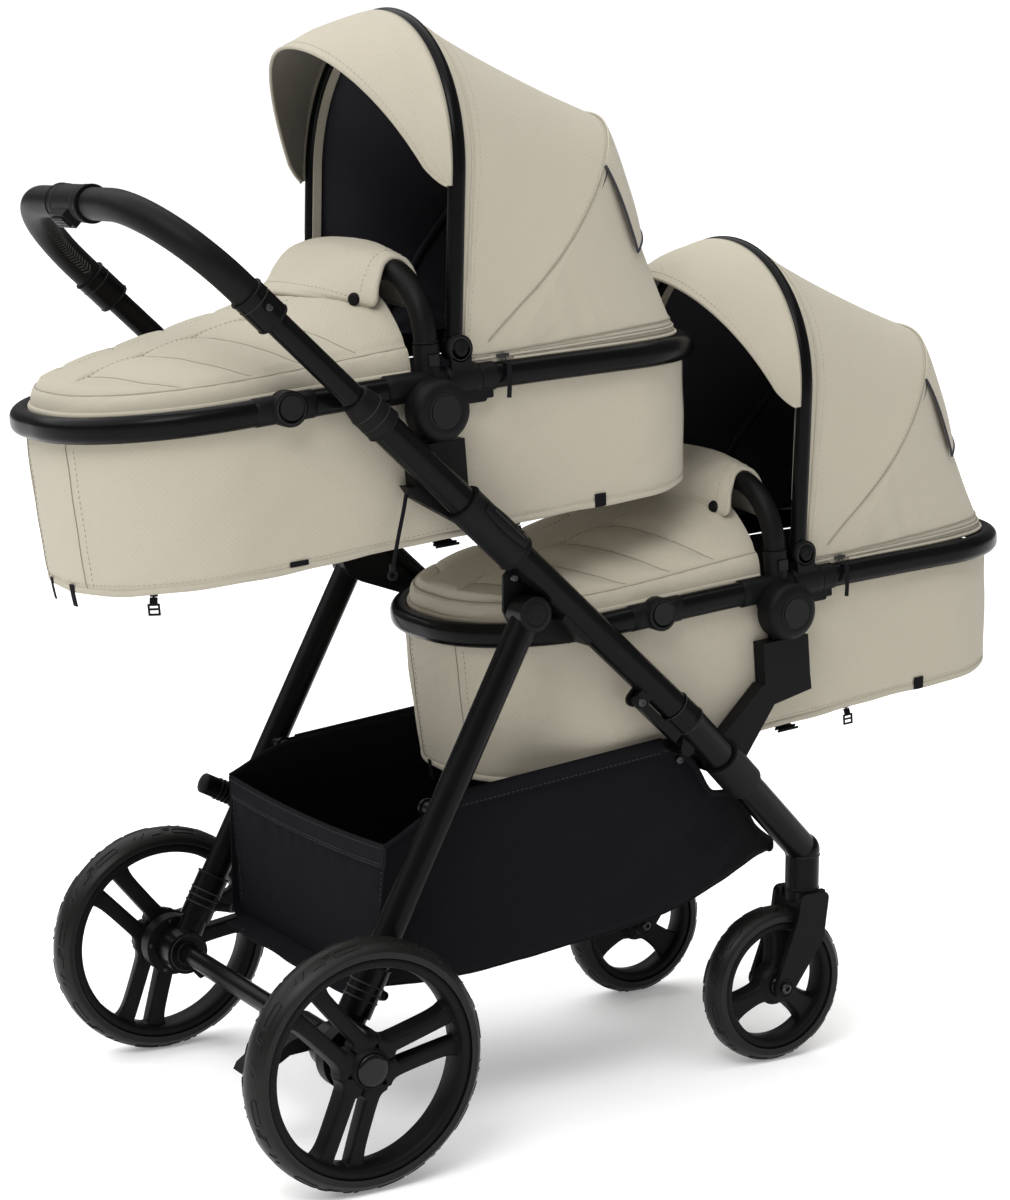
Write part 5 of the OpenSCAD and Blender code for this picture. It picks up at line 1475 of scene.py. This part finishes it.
def spoke_rings(wheel, hub, last, spoke):
    """Cross-sections of the three spokes from the hub to the rim; the rear ones are slotted."""
    wheels = settings().wheels
    stations = hub - 6 + (last - hub + 6) * (0.5 - 0.5 * np.cos(np.pi * np.linspace(0, 1, 72)))
    t = np.clip((stations - hub) / (last - hub), 0, 1)
    by_rim = np.minimum(14, 10 * np.exp((stations - last + 8) / 8))
    flare = by_rim + 8 * np.exp(-np.maximum(stations - hub, 0) / 5)
    half = spoke * (1.68 + 0.3 * t if wheel.rear else 1.0 + 0.5 * t) + flare * spoke / 13
    opening = smooth_step(stations, hub + 12, hub + 15) * (1 - smooth_step(stations, last - 10, last - 6))
    slot = spoke * (0.42 + 0.3 * t) * np.sqrt(opening)
    a = full_turn(32)
    wide, deep = (np.sign(f(a)) * np.abs(f(a)) ** 0.4 for f in (np.cos, np.sin))
    draft = 2.4 * (1 - deep)
    dish, thick = 4.5 * (1 - t) ** 1.3, (0.23 + 0.05 * (1 - t)) * wheel.w
    depth = dish[:, None] + thick[:, None] * deep
    first = wheels.rear_turn if wheel.rear else wheels.front_turn
    for angle in first + np.radians((0, 120, 240)):
        along = np.array((math.cos(angle), 0.0, math.sin(angle)))
        square = np.array((-math.sin(angle), 0.0, math.cos(angle)))
        for twin in (1, -1) if wheel.rear else (0,):
            if twin:
                place = (twin * (half + slot) / 2)[:, None] + ((half - slot) / 2)[:, None] * wide
                place = place + twin * draft * (twin * wide > 0)
            else:
                place = half[:, None] * wide + draft * np.sign(np.round(wide, 6))
            spot = stations[:, None, None] * along + place[..., None] * square + depth[..., None] * wheel.out
            yield wheel.middle + MM * spot


def make_wheel_rim(wheel):
    """Sculpted rim with its hub, three spokes and a domed cap."""
    w, seat, lip, hub = wheel.w, wheel.seat, 12, 21
    cap, bore, barrel, spoke = (19, 0.01, w / 2 - 1, 13) if wheel.rear else (13, 5.2, w / 2 - 2, 9)
    edge = w / 2 - 2.2
    rim = Cut()

    def lathe(profile, sides, mark=0):
        """Turns a profile about the axle."""
        rim.turned(MM * np.array(profile), wheel.middle, wheel.out, (1, 0, 0), sides, mark)

    lathe([(seat - lip, 2.5 - edge), (seat - lip + 2.5, -edge), (seat - 1.6, -edge), (seat - 0.2, 1.6 - edge),
           (seat - 0.2, edge - 1.6), (seat - 1.6, edge), (seat - lip + 2.5, edge), (seat - lip, edge - 2.5),
           (seat - lip - 1.5, 0), (seat - lip, 2.5 - edge)], 120)
    lathe([(max(bore, 1), -barrel), (hub - 1.5, -barrel), (hub, 1.5 - barrel), (hub, -11), (hub + 5, -8),
           (hub + 6, 9), (hub + 3, 0.75 * barrel), (hub + 0.8, barrel - 1.2), (hub - 0.6, barrel),
           (cap + 0.9, barrel), (cap + 0.7, barrel - 2), (max(bore, 1), barrel - 2)], 72)
    lathe([(cap + 0.1, barrel - 2), (cap, barrel + 1.2), (cap - 1.4, barrel + 2.8),
           (0.72 * cap, barrel + 3.6), (max(bore, 0.4 * cap), barrel + 4), (bore, barrel + 4)], 60, mark=1)
    for ring in spoke_rings(wheel, hub, seat - lip / 2, spoke):
        rim.grid(ring, True)
    for face in (1, -1):
        centre = wheel.middle + face * (w / 2 - 0.9) * MM * wheel.out
        rim.ring(centre, wheel.out, (seat + 0.6) * MM, 0.0011, mark=2, sides=120)
    made = rim.piece(
        f"{wheel.end}_spider_{wheel.side}", wheel.body, "black_plastic", ["plastic", "gloss", "groove"])
    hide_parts(f"{wheel.end}_rim_{wheel.side}")


def make_tread(wheel):
    """Raised lines on the tyre's shoulders."""
    wheels = settings().wheels
    tread = Cut()
    r, w = wheel.r, wheel.w
    crown, marks = 0.62 * w, max(3, round(wheels.marks * r / REAR_AXLE_Z))
    pitch = 2 * math.pi * r / marks

    def on_tyre(s, h):
        """Points on the tyre from millimetres round it and across it."""
        s, h = np.asarray(s, float)[:, None], np.asarray(h, float)[:, None]
        rho = r - crown + np.sqrt(crown**2 - h**2) + 0.1
        round_it = rho * (np.cos(s / r) * (1, 0, 0) + np.sin(s / r) * (0, 0, 1))
        return wheel.middle + MM * (round_it + h * wheel.out)

    bend = np.linspace(-math.pi / 2, math.pi / 2, 10)
    loop = np.vstack([np.column_stack([0.36 * pitch + 3 * np.cos(bend), 12.5 + 3 * np.sin(bend)]),
                      np.column_stack([0.12 * pitch - 3 * np.cos(bend), 12.5 - 3 * np.sin(bend)])])
    figures = [(even(loop, 44, closed=True), True)]
    for line in ([(0.42, 8), (0.5, 8), (0.54, 15), (0.64, 15)], [(0.42, 11), (0.48, 11), (0.52, 17)],
                 [(0.72, 8), (0.78, 15)], [(0.83, 9), (0.86, 13)]):
        figures.append((even(np.array(line) * (pitch, 1), 14), False))
    for k in range(marks):
        for face in (1, -1):
            shift = (k + (0 if face > 0 else 0.5)) * pitch
            for line, closed in figures:
                across = face * line[:, 1] * w / 44
                tread.tube(on_tyre(shift + line[:, 0], across), wheels.rib, 6, closed=closed)
    tread.piece(f"{wheel.end}_tread_{wheel.side}", wheel.body, "tyre_rubber", ["rubber"])


# Basket

def basket_side(x):
    """Upper edge, floor and half width of the bag at x from the rear axle."""
    top = ease(x, [BAG_REAR, 133, 300, 455, 488, 510, 545, 575, 605, 630, BAG_FRONT],
               [370, 402, 418, 436, 420, 404, 361, 355, 335, 301, 273])
    low = ease(x, [BAG_REAR, 175, 330, 498, BAG_FRONT], [191, 187, 199, 223, 262])
    half = ease(x, [BAG_REAR, 470, 510, BAG_FRONT], [182, 182, 174, 124])
    return top, low, half


def slouch(x, y, share):
    """How far the bag's right rear corner has sunk forward, at a share of the way down."""
    to_right = np.clip(0.5 - y / 364, 0, 1)
    return 26 * to_right * (1 - np.clip(share, 0, 1)) ** 0.8 * (1 - smooth_step(x, BAG_REAR, 260))


def basket_at(x, t):
    """Point of the bag, in millimetres: t runs from the left edge (0) under the bag to the right one (1)."""
    x, t = np.broadcast_arrays(np.asarray(x, float), np.asarray(t, float))
    wall_end, floor_start = 0.26, 0.29
    top, low, half = basket_side(x)
    depth = top - low
    r = np.minimum(BAG_CORNER, 0.4 * depth)
    u = np.minimum(t, 1 - t)
    turn = np.clip((u - wall_end) / 0.03, 0, 1) * np.pi / 2
    drop = np.clip(u / wall_end, 0, 1) * (depth - r) + r * np.sin(turn)
    share = drop / depth
    wall = np.sin(np.pi * np.clip(share, 0, 1)) * np.clip(depth / 120, 0, 1) * (u < floor_start)
    y = half - r + r * np.cos(turn) - np.clip((u - floor_start) / 0.21, 0, 1) * (half - r)
    y = np.where(t < 0.5, 1, -1) * (y + wall * (3.0 + 2.2 * ripple(x / 90, 2.4 * share, 41)))
    under = smooth_step(share, 0.9, 1)
    z = top - drop - (4 * np.clip(1 - (y / half) ** 2, 0, 1) - 1.5 * ripple(x / 60, y / 70, 42)) * under
    lean = slouch(x, y, share)
    return np.stack([x + lean - ROW_MID, y, z - 0.4 * lean], -1)


def rear_panel_at(share, q, proud=0.0):
    """Point of the basket's rear panel: share down it, q from its left edge (1) to its right one (-1)."""
    share, q = np.broadcast_arrays(np.asarray(share, float), np.asarray(q, float))
    rear = np.array(float(BAG_REAR))
    top, low, half = basket_side(rear)
    y = q * (half - BAG_CORNER * (1 - np.sqrt(1 - np.clip((share - 0.911) / 0.089, 0, 1) ** 2)))
    halfway = np.sin(np.pi * np.clip(share, 0, 1))
    uneven = 0.6 + 0.4 * ripple(y / 40, share, 44)
    tuck = 0.9 * uneven * np.sin(y / 5.2 + 2.5 * np.sin(y / 37)) * dent(share - 0.21, 0.06)
    tuck = tuck + 2.0 * ripple(y / 60, 3 * share, 45) * halfway
    belly = 7 * halfway * (1 - q**4)
    lean = slouch(rear, y, share)
    x = BAG_REAR + 13 * share - belly - tuck - proud + lean
    z = top - (top - low) * share - 7 * (1 - q**2) * (1 - share) ** 2 - 0.4 * lean
    return np.stack([x - ROW_MID, y, z], -1)


def make_basket():
    """Hanging nylon bag with its rear panel."""
    x = np.linspace(BAG_REAR, BAG_FRONT, 110)
    points = basket_at(x[:, None], np.linspace(0, 1, 161)[None]) * MM
    heart = np.array((0.0, 0.0, 0.33))
    bag = Cut().shell(points, 0.0022, heart).piece("basket_bag", "links", "basket_fabric", ["basket"])
    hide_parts("basket")
    share, q = np.linspace(0, 0.997, 60), np.linspace(1, -1, 181)
    panel_points = rear_panel_at(share[:, None], q[None]) * MM
    panel = Cut().shell(panel_points, 0.0022, heart).piece(
        "basket_rear_panel", "links", "basket_fabric", ["basket"])
    trims = make_basket_hems(points, panel_points, q, heart)
    make_basket_snaps()
    declare_cloth(bag, points)
    declare_cloth(panel, panel_points)


def make_basket_hems(points, panel_points, q, heart):
    """Hem of the rear panel, bound edges, the casings round the links and the flap under the bag."""
    rearward = np.array((-1.0, 0.0, 0.0))
    trim = Cut()
    hem = rear_panel_at(np.linspace(-0.008, 0.15, 12)[:, None], q[None, 1:-1], 1.6) * MM
    trim.shell(hem, 0.0036, heart)
    for share in (0.018, 0.125, 0.143):
        line = rear_panel_at(share, q[2:-2], 1.9) * MM
        trim.stitches(line, rearward, BASKET_STITCH)
    trim.tube(rear_panel_at(0.158, q[1:-1], 1.0) * MM, 0.0012, 8)
    for edge, side, fold in ((0, 1, 0.275), (-1, -1, 0.725)):
        trim.tube(points[:, edge], 0.0042, 12, flat=0.55, up=ACROSS)
        trim.tube(panel_points[:-2, edge], 0.0021, 8)
        beside = rear_panel_at(np.linspace(0.17, 0.9, 60), side * 0.965, 0.6) * MM
        trim.stitches(beside, rearward, BASKET_STITCH)
        x = np.linspace(150, 456, 60)
        z = np.interp(x, *zip(LINK_REAR, LINK_FRONT))
        link = np.column_stack([x - ROW_MID, np.full(60, side * LINK_Y), z]) * MM
        trim.tube(link, 0.0046, 14, flat=2.35, up=UPRIGHT, mark=2)
        trim.stitches(link + (0, side * 0.0044, -0.0065), side * ACROSS, BASKET_STITCH)
        trim.tube(basket_at(np.linspace(75, 640, 120), fold) * MM, 0.0014, 8)
    trim.tube(points[-1], 0.0028, 10)
    y, wave = np.linspace(165, -165, 61), 1.2 * np.sin(np.linspace(0, 19, 61))
    flap = [np.stack([np.full(61, 70 - 34 * k - ROW_MID), y * (1 - 0.03 * k), 190 - 3.5 * k + wave * k], -1)
            for k in np.linspace(0, 1, 10)]
    trim.shell(np.array(flap) * MM, 0.003, heart, marks=(2, 2))
    return trim.piece("basket_hems", "links", "basket_fabric", ["basket_trim", "thread", "basket"])


def make_basket_snaps():
    """Snaps of the flap under the bag and of the casings' front ends."""
    snaps = Cut()
    for y in (-120, 120):
        snaps.bolt(np.array((44 - ROW_MID, y, 188.5)) * MM, UPRIGHT, 0.0062, 0.0022)
    for side in (1, -1):
        snaps.bolt(np.array((484 - ROW_MID, side * 183.5, 414)) * MM, side * ACROSS, 0.0052, 0.0022)
    snaps.piece("basket_snaps", "links", "black_plastic", ["steel"])


# Fittings

def make_rail_trims():
    """Rings of the rails' collars and clamps, the levers, and the bolts of hinges and brackets."""
    trim = Cut()
    for side in (1, -1):
        out = side * ACROSS
        y = side * RAIL_Y
        for s, radius, thick, mark in (
                (523.5, 20.9, 0.9, 0), (537, 20.8, 0.6, 2), (551.5, 20.8, 0.7, 2), (570.5, 17.4, 0.9, 0)):
            trim.ring(by_rail(s, 0, y), RAIL_UP, radius * MM, thick * MM, mark=mark)
        for face in (1, -1):
            trim.bolt(by_rail(46, -26.5, y + face * 10.8), face * ACROSS, 0.0055, 0.0024, mark=1)
        swell = np.sin(np.linspace(0.25, math.pi - 0.25, 26)) ** 0.35
        lean = unit(0.5 * RAIL_OUT + 0.87 * out)
        lever = by_rail(np.linspace(303, 371, 26), 0, y) + lean * 0.0226
        trim.tube(lever, 0.0105 * swell, 18, flat=0.5, up=lean)
        trim.tube(lever[3:-3] + lean * 0.0052, 0.0008, 8, mark=2)
        for s in (296, 388):
            trim.ring(by_rail(s, 0, y), RAIL_UP, 0.0231, 0.0009)
        trim.bolt(by_rail(283, -24, y + side * 9), out, 0.0042, 0.0024, mark=1)
    trim.piece("rail_trims", "chassis", "black_plastic", FITTING_FINISHES)


def make_leg_trims():
    """Caps at the legs' tops, rings and bolts at their feet, and the grooved peg on the left leg."""
    trim = Cut()
    cap = MM * np.array([
        (20.4, -0.5), (20.4, 0.8), (19.2, 1.9), (14.2, 2.3), (13.6, 1.2), (13.0, 2.3), (6, 2.7), (0.01, 2.8)])
    for side in (1, -1):
        out = side * ACROSS
        y = side * RAIL_Y
        trim.turned(cap, (LEG_TOP + LEG_FACE * out) * MM, out, (1, 0, 0), 64)
        for up in (62, 71, 80):
            trim.ring(by_leg(up, y), LEG_UP, 0.0201, 0.0011, mark=2)
        trim.ring(by_leg(101.5, y), LEG_UP, 0.0202, 0.0012)
        lug = np.array([by_leg(up, y - side * inward, back) for up, inward, back in (
            (66, 12, -12), (70, 14, -26), (72, 14, -36))])
        trim.tube(even(lug, 12), 0.0062, 14, flat=0.6, up=out)
        trim.bolt(lug[-1], -out, 0.0056, 0.0046, mark=1)
        for angle in np.radians(28 + 72 * np.arange(5)):
            place = AXLE + 33 * np.array((math.cos(angle), 0, math.sin(angle))) + DRUM_FACE * out
            trim.bolt(place * MM, -out, 0.0027, 0.0017, mark=1)
        trim.ring(AXLE * MM + 0.1955 * out, ACROSS, 0.0135, 0.0021)
        trim.ring(AXLE * MM + 0.197 * out, ACROSS, 0.0225, 0.0008, mark=2)
    peg_up = (PEG_Z - REAR_AXLE_Z) / LEG_UP[2]
    for along in (27, 33, 39, 45):
        trim.ring(by_leg(peg_up, RAIL_Y, along), LEG_BACK, 0.0131, 0.0012)
    peg_end = MM * np.array([(13, -1), (12.4, 1.2), (9, 3), (4, 3.8), (0.01, 4)])
    trim.turned(peg_end, by_leg(peg_up, RAIL_Y, 66), LEG_BACK, ACROSS, 48)
    trim.piece("leg_trims", "rear_legs", "black_plastic", FITTING_FINISHES)


def make_lower_rail_trims():
    """Grooves of the fold hinge's sleeves and of the caster housings."""
    trim = Cut()
    for side in (1, -1):
        for s, radius, thick in ((-1.2, 0.0199, 0.0007), (-31, 0.0201, 0.0008)):
            trim.ring(by_rail(s, 0, side * RAIL_Y), RAIL_UP, radius, thick, mark=2)
        for z, radius, thick in ((219, 0.0216, 0.0007), (262, 0.0217, 0.0008)):
            trim.ring(np.array((STEM[0] - ROW_MID, side * STEM[1], z)) * MM, UPRIGHT, radius, thick, mark=2)
    trim.piece("lower_rail_trims", "lower_frame", "black_plastic", FITTING_FINISHES)


def make_link_bolts():
    """Bolts through both ends of the fold links."""
    trim = Cut()
    rear_pin = AXLE + LEG_UP * ((LINK_REAR[1] - REAR_AXLE_Z) / LEG_UP[2])
    front_pin = np.array((LINK_FRONT[0] - ROW_MID, 0, LINK_FRONT[1]))
    for side in (1, -1):
        for pin in (rear_pin, front_pin):
            trim.bolt((pin + side * LINK_FACE * ACROSS) * MM, -side * ACROSS, 0.0078, 0.003, mark=1)
    trim.piece("link_bolts", "links", "black_plastic", FITTING_FINISHES)


def make_fork_bolts():
    """Axle bolts of both casters, each with its washer."""
    for name in ("left", "right"):
        trim = Cut()
        low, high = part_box(f"front_tyre_{name}")
        hub = np.array((low + high) / 2)
        for face in (1, -1):
            trim.bolt(hub + face * 0.0305 * ACROSS, face * ACROSS, 0.0072, 0.0042, mark=1)
            trim.ring(hub + face * 0.0301 * ACROSS, ACROSS, 0.0112, 0.0009)
        trim.piece(f"fork_bolts_{name}", f"caster_{name}", "black_plastic", FITTING_FINISHES)


def make_tether():
    """Elastic cord with a small hook that hangs from the right upper adapter."""
    thick = 0.0046
    route = [(-284, -191, 764), (-289, -192, 742), (-296, -192, 712), (-302, -191, 680)]
    line = even(ease_path(route), 40) * MM
    cord = Cut().tube(line, thick / 2, 14).piece("adapter_tether", "chassis", "grip_leather", ["webbing"])
    hook = Cut()
    turn = np.linspace(-0.5, 1.35 * math.pi, 22)[:, None]
    bend = line[-1] + MM * (4.8 * np.cos(turn) * (1, 0, 0) + 4.8 * np.sin(turn) * (0, 0, -1) + (0, 0, -6))
    hook.tube(bend, 0.0018, 10)
    hook.tube(even(np.array([line[-1] + (0, 0, 0.006), line[-1] - (0, 0, 0.003)]), 5), 0.0034, 14)
    end = hook.piece("tether_hook", "chassis", "black_plastic", ["plastic"])
    float(run_of(line)[-1])


def make_cot_fittings(cot):
    """Grooves of the knuckles and hubs, and the caps of the arch's pivots."""
    trim = Cut()
    for side in (1, -1):
        pivot = cot.at((PIVOT[0], side * PIVOT_FACE, PIVOT[1]))
        trim.ring(cot.at((KNUCKLE_X, side * KNUCKLE_FACE, RIM_Z)), ACROSS, 0.0168, 0.0006, mark=2)
        trim.ring(cot.at((0, side * HUB_FACE, 0)), ACROSS, 0.0187, 0.0007, mark=2)
        trim.bolt(pivot, side * ACROSS, 0.0085, 0.0026)
        trim.ring(pivot, ACROSS, 0.0125, 0.0007, mark=2)
    trim.piece(f"{cot.name}_rim_trims", cot.body, "black_plastic", FITTING_FINISHES)


# Studio

def add_light(name, place, target, size, power):
    """A flat light that faces a target."""
    light = bpy.data.lights.new(name, "AREA")
    light.shape = "RECTANGLE"
    light.size, light.size_y = size
    light.energy = power
    lamp = bpy.data.objects.new(name, light)
    bpy.context.scene.collection.objects.link(lamp)
    x, y, z = np.array(target) - np.array(place)
    lamp.location = place
    lamp.rotation_euler = (math.atan2(math.hypot(x, y), -z), 0, math.atan2(-x, y))


def make_floor():
    """Wide pale floor that glows a little."""
    studio = settings().studio
    material, tree, shader = new_finish(
        "studio_floor", 0.9, **{"Emission Color": (1.0, 1.0, 1.0, 1.0), "Emission Strength": studio.glow})
    around = put(tree, "ShaderNodeTexCoord").outputs["Object"]
    cloud = noise(tree, around, 3.0, 2.0)
    tree.links.new(tint(tree, cloud, tuple(studio.floor), 0.99, 1.01), shader.inputs["Base Color"])
    a = full_turn(96)
    rings = [np.column_stack([r * np.cos(a), r * np.sin(a), np.zeros(96)])
             for r in (30.0, 14.0, 7.0, 3.0, 1.0, 0.0)]
    ground = Cut().grid(np.array(rings), True)
    mesh = bpy.data.meshes.new("studio_floor")
    mesh.from_pydata(np.concatenate(ground.points).tolist(), [], ground.faces)
    mesh.materials.append(material)
    made = bpy.data.objects.new("studio_floor", mesh)
    bpy.context.scene.collection.objects.link(made)


def make_sky():
    """Even white light that is dimmer in mirrored rays and plain white behind the pram."""
    studio = settings().studio
    world = bpy.data.worlds.new("studio_sky")
    world.use_nodes = True
    tree = world.node_tree
    sky = tree.nodes["Background"]
    sky.inputs["Color"].default_value = (1, 1, 1, 1)
    rays = put(tree, "ShaderNodeLightPath").outputs
    strength, backdrop = studio.sky, 1.05
    for ray, other in (("Is Glossy Ray", studio.mirror), ("Is Camera Ray", backdrop)):
        strength = add(tree, strength, rays[ray], other - studio.sky)
    tree.links.new(strength, sky.inputs["Strength"])
    bpy.context.scene.world = world


def make_lights():
    """Key, fill and back light, and a soft sun above."""
    studio = settings().studio
    add_light("key_light", (-1.9, -1.6, 3.0), (0.0, 0.0, 0.6), (1.3, 1.3), studio.key)
    add_light("fill_light", (2.6, -2.0, 1.9), (0.1, 0.0, 0.5), (1.6, 2.4), studio.fill)
    add_light("back_light", (0.6, 3.0, 2.6), (0.0, 0.0, 0.7), (2.4, 1.6), studio.fill)
    sun = bpy.data.lights.new("soft_sun", "SUN")
    sun.energy, sun.angle = studio.sun, math.radians(100)
    above = bpy.data.objects.new("soft_sun", sun)
    above.rotation_euler = (math.radians(-12), math.radians(-14), 0)
    bpy.context.scene.collection.objects.link(above)


def make_camera():
    """The photograph's view."""
    studio, scene = settings().studio, bpy.context.scene
    scene.view_settings.view_transform = "Standard"
    lens = bpy.data.cameras.new("photo_camera")
    lens.sensor_width = 36
    lens.lens = studio.lens
    lens.shift_x, lens.shift_y = studio.shift
    camera = bpy.data.objects.new("photo_camera", lens)
    camera.location = studio.camera
    camera.rotation_euler = (math.pi / 2 - studio.elevation, 0, studio.azimuth)
    scene.collection.objects.link(camera)
    scene.camera = camera


# Operators

def for_both(make):
    """Makes something for each carrycot and tells Blender that it is done."""
    for cot in cots():
        make(cot)
    return {"FINISHED"}


class TWINPRAM_OT_frame(Operator):
    """Give every solid of the frame its finish"""

    bl_idname = "twin_pram.frame"
    bl_label = "Frame finishes"

    def execute(self, context):
        slots = {"frame_tube": "tube", "black_plastic": "plastic", "grip_leather": "leather",
                 "button_plastic": "button", "tyre_rubber": "rubber", "stone_fabric": "stone",
                 "mattress_fabric": "mattress", "basket_fabric": "basket"}
        parts = {p["node"]: p["material_slot"] for p in frame["record"]["subparts"]}
        for name, solid in frame["nodes"].items():
            solid.data.materials.clear()
            solid.data.materials.append(finish(slots[parts[name]]))
        return {"FINISHED"}


class TWINPRAM_OT_rims(Operator):
    """Make both carrycots' bowed rims"""

    bl_idname = "twin_pram.rims"
    bl_label = "Rims"

    def execute(self, context):
        return for_both(make_rim)


class TWINPRAM_OT_tubs(Operator):
    """Make both carrycots' cloth tubs"""

    bl_idname = "twin_pram.tubs"
    bl_label = "Tubs"

    def execute(self, context):
        return for_both(make_tub)


class TWINPRAM_OT_mattresses(Operator):
    """Make both mattresses"""

    bl_idname = "twin_pram.mattresses"
    bl_label = "Mattresses"

    def execute(self, context):
        twin = None
        for cot in cots():
            twin = make_mattress(cot, twin)
        return {"FINISHED"}


class TWINPRAM_OT_aprons(Operator):
    """Make both quilted aprons"""

    bl_idname = "twin_pram.aprons"
    bl_label = "Aprons"

    def execute(self, context):
        return for_both(make_apron)


class TWINPRAM_OT_bumpers(Operator):
    """Cover both bumper bars"""

    bl_idname = "twin_pram.bumpers"
    bl_label = "Bumper covers"

    def execute(self, context):
        return for_both(make_bumper_cover)


class TWINPRAM_OT_canopies(Operator):
    """Make both canopies with lining, seams and vent flap"""

    bl_idname = "twin_pram.canopies"
    bl_label = "Canopies"

    def execute(self, context):
        return for_both(make_canopy)


class TWINPRAM_OT_visors(Operator):
    """Make both visors"""

    bl_idname = "twin_pram.visors"
    bl_label = "Visors"

    def execute(self, context):
        return for_both(make_visor)


class TWINPRAM_OT_handle(Operator):
    """Cover the handle and trim its housing"""

    bl_idname = "twin_pram.handle"
    bl_label = "Handle"

    def execute(self, context):
        make_handle_sleeve()
        make_handle_trims()
        return {"FINISHED"}


class TWINPRAM_OT_wheels(Operator):
    """Make the four sculpted rims and the tyres' tread"""

    bl_idname = "twin_pram.wheels"
    bl_label = "Wheels"

    def execute(self, context):
        for end in ("rear", "front"):
            for side in ("left", "right"):
                wheel = Wheel(end, side)
                make_wheel_rim(wheel)
                make_tread(wheel)
        return {"FINISHED"}


class TWINPRAM_OT_basket(Operator):
    """Hang the shopping basket"""

    bl_idname = "twin_pram.basket"
    bl_label = "Basket"

    def execute(self, context):
        make_basket()
        return {"FINISHED"}


class TWINPRAM_OT_fittings(Operator):
    """Add the bolts, caps, grooves and levers, and the tether"""

    bl_idname = "twin_pram.fittings"
    bl_label = "Fittings"

    def execute(self, context):
        make_rail_trims()
        make_leg_trims()
        make_lower_rail_trims()
        make_link_bolts()
        make_fork_bolts()
        make_tether()
        return for_both(make_cot_fittings)


class TWINPRAM_OT_stage(Operator):
    """Set up the floor, the lights and the camera"""

    bl_idname = "twin_pram.stage"
    bl_label = "Studio"

    def execute(self, context):
        make_floor()
        make_sky()
        make_lights()
        make_camera()
        return {"FINISHED"}


class TWINPRAM_PT_panel(Panel):
    """Lists the pram's pieces"""

    bl_idname = "TWINPRAM_PT_panel"
    bl_label = "Twin pram"
    bl_space_type = "VIEW_3D"
    bl_region_type = "UI"
    bl_category = "Twin pram"

    def draw(self, context):
        for maker in MAKERS:
            self.layout.operator(maker.bl_idname)


MAKERS = (
    TWINPRAM_OT_frame, TWINPRAM_OT_rims, TWINPRAM_OT_tubs, TWINPRAM_OT_mattresses, TWINPRAM_OT_aprons,
    TWINPRAM_OT_bumpers, TWINPRAM_OT_canopies, TWINPRAM_OT_visors, TWINPRAM_OT_handle, TWINPRAM_OT_wheels,
    TWINPRAM_OT_basket, TWINPRAM_OT_fittings, TWINPRAM_OT_stage)
CLASSES = (
    ClothSettings, FrameSettings, WheelSettings, StudioSettings, TwinPramSettings, *MAKERS, TWINPRAM_PT_panel)


def register():
    for part in CLASSES:
        bpy.utils.register_class(part)
    bpy.types.Scene.twin_pram = PointerProperty(type=TwinPramSettings)


def unregister():
    del bpy.types.Scene.twin_pram
    for part in reversed(CLASSES):
        bpy.utils.unregister_class(part)


def main():
    register()
    for maker in MAKERS:
        group, name = maker.bl_idname.split(".")
        getattr(getattr(bpy.ops, group), name)()


if __name__ == "__main__":
    main()
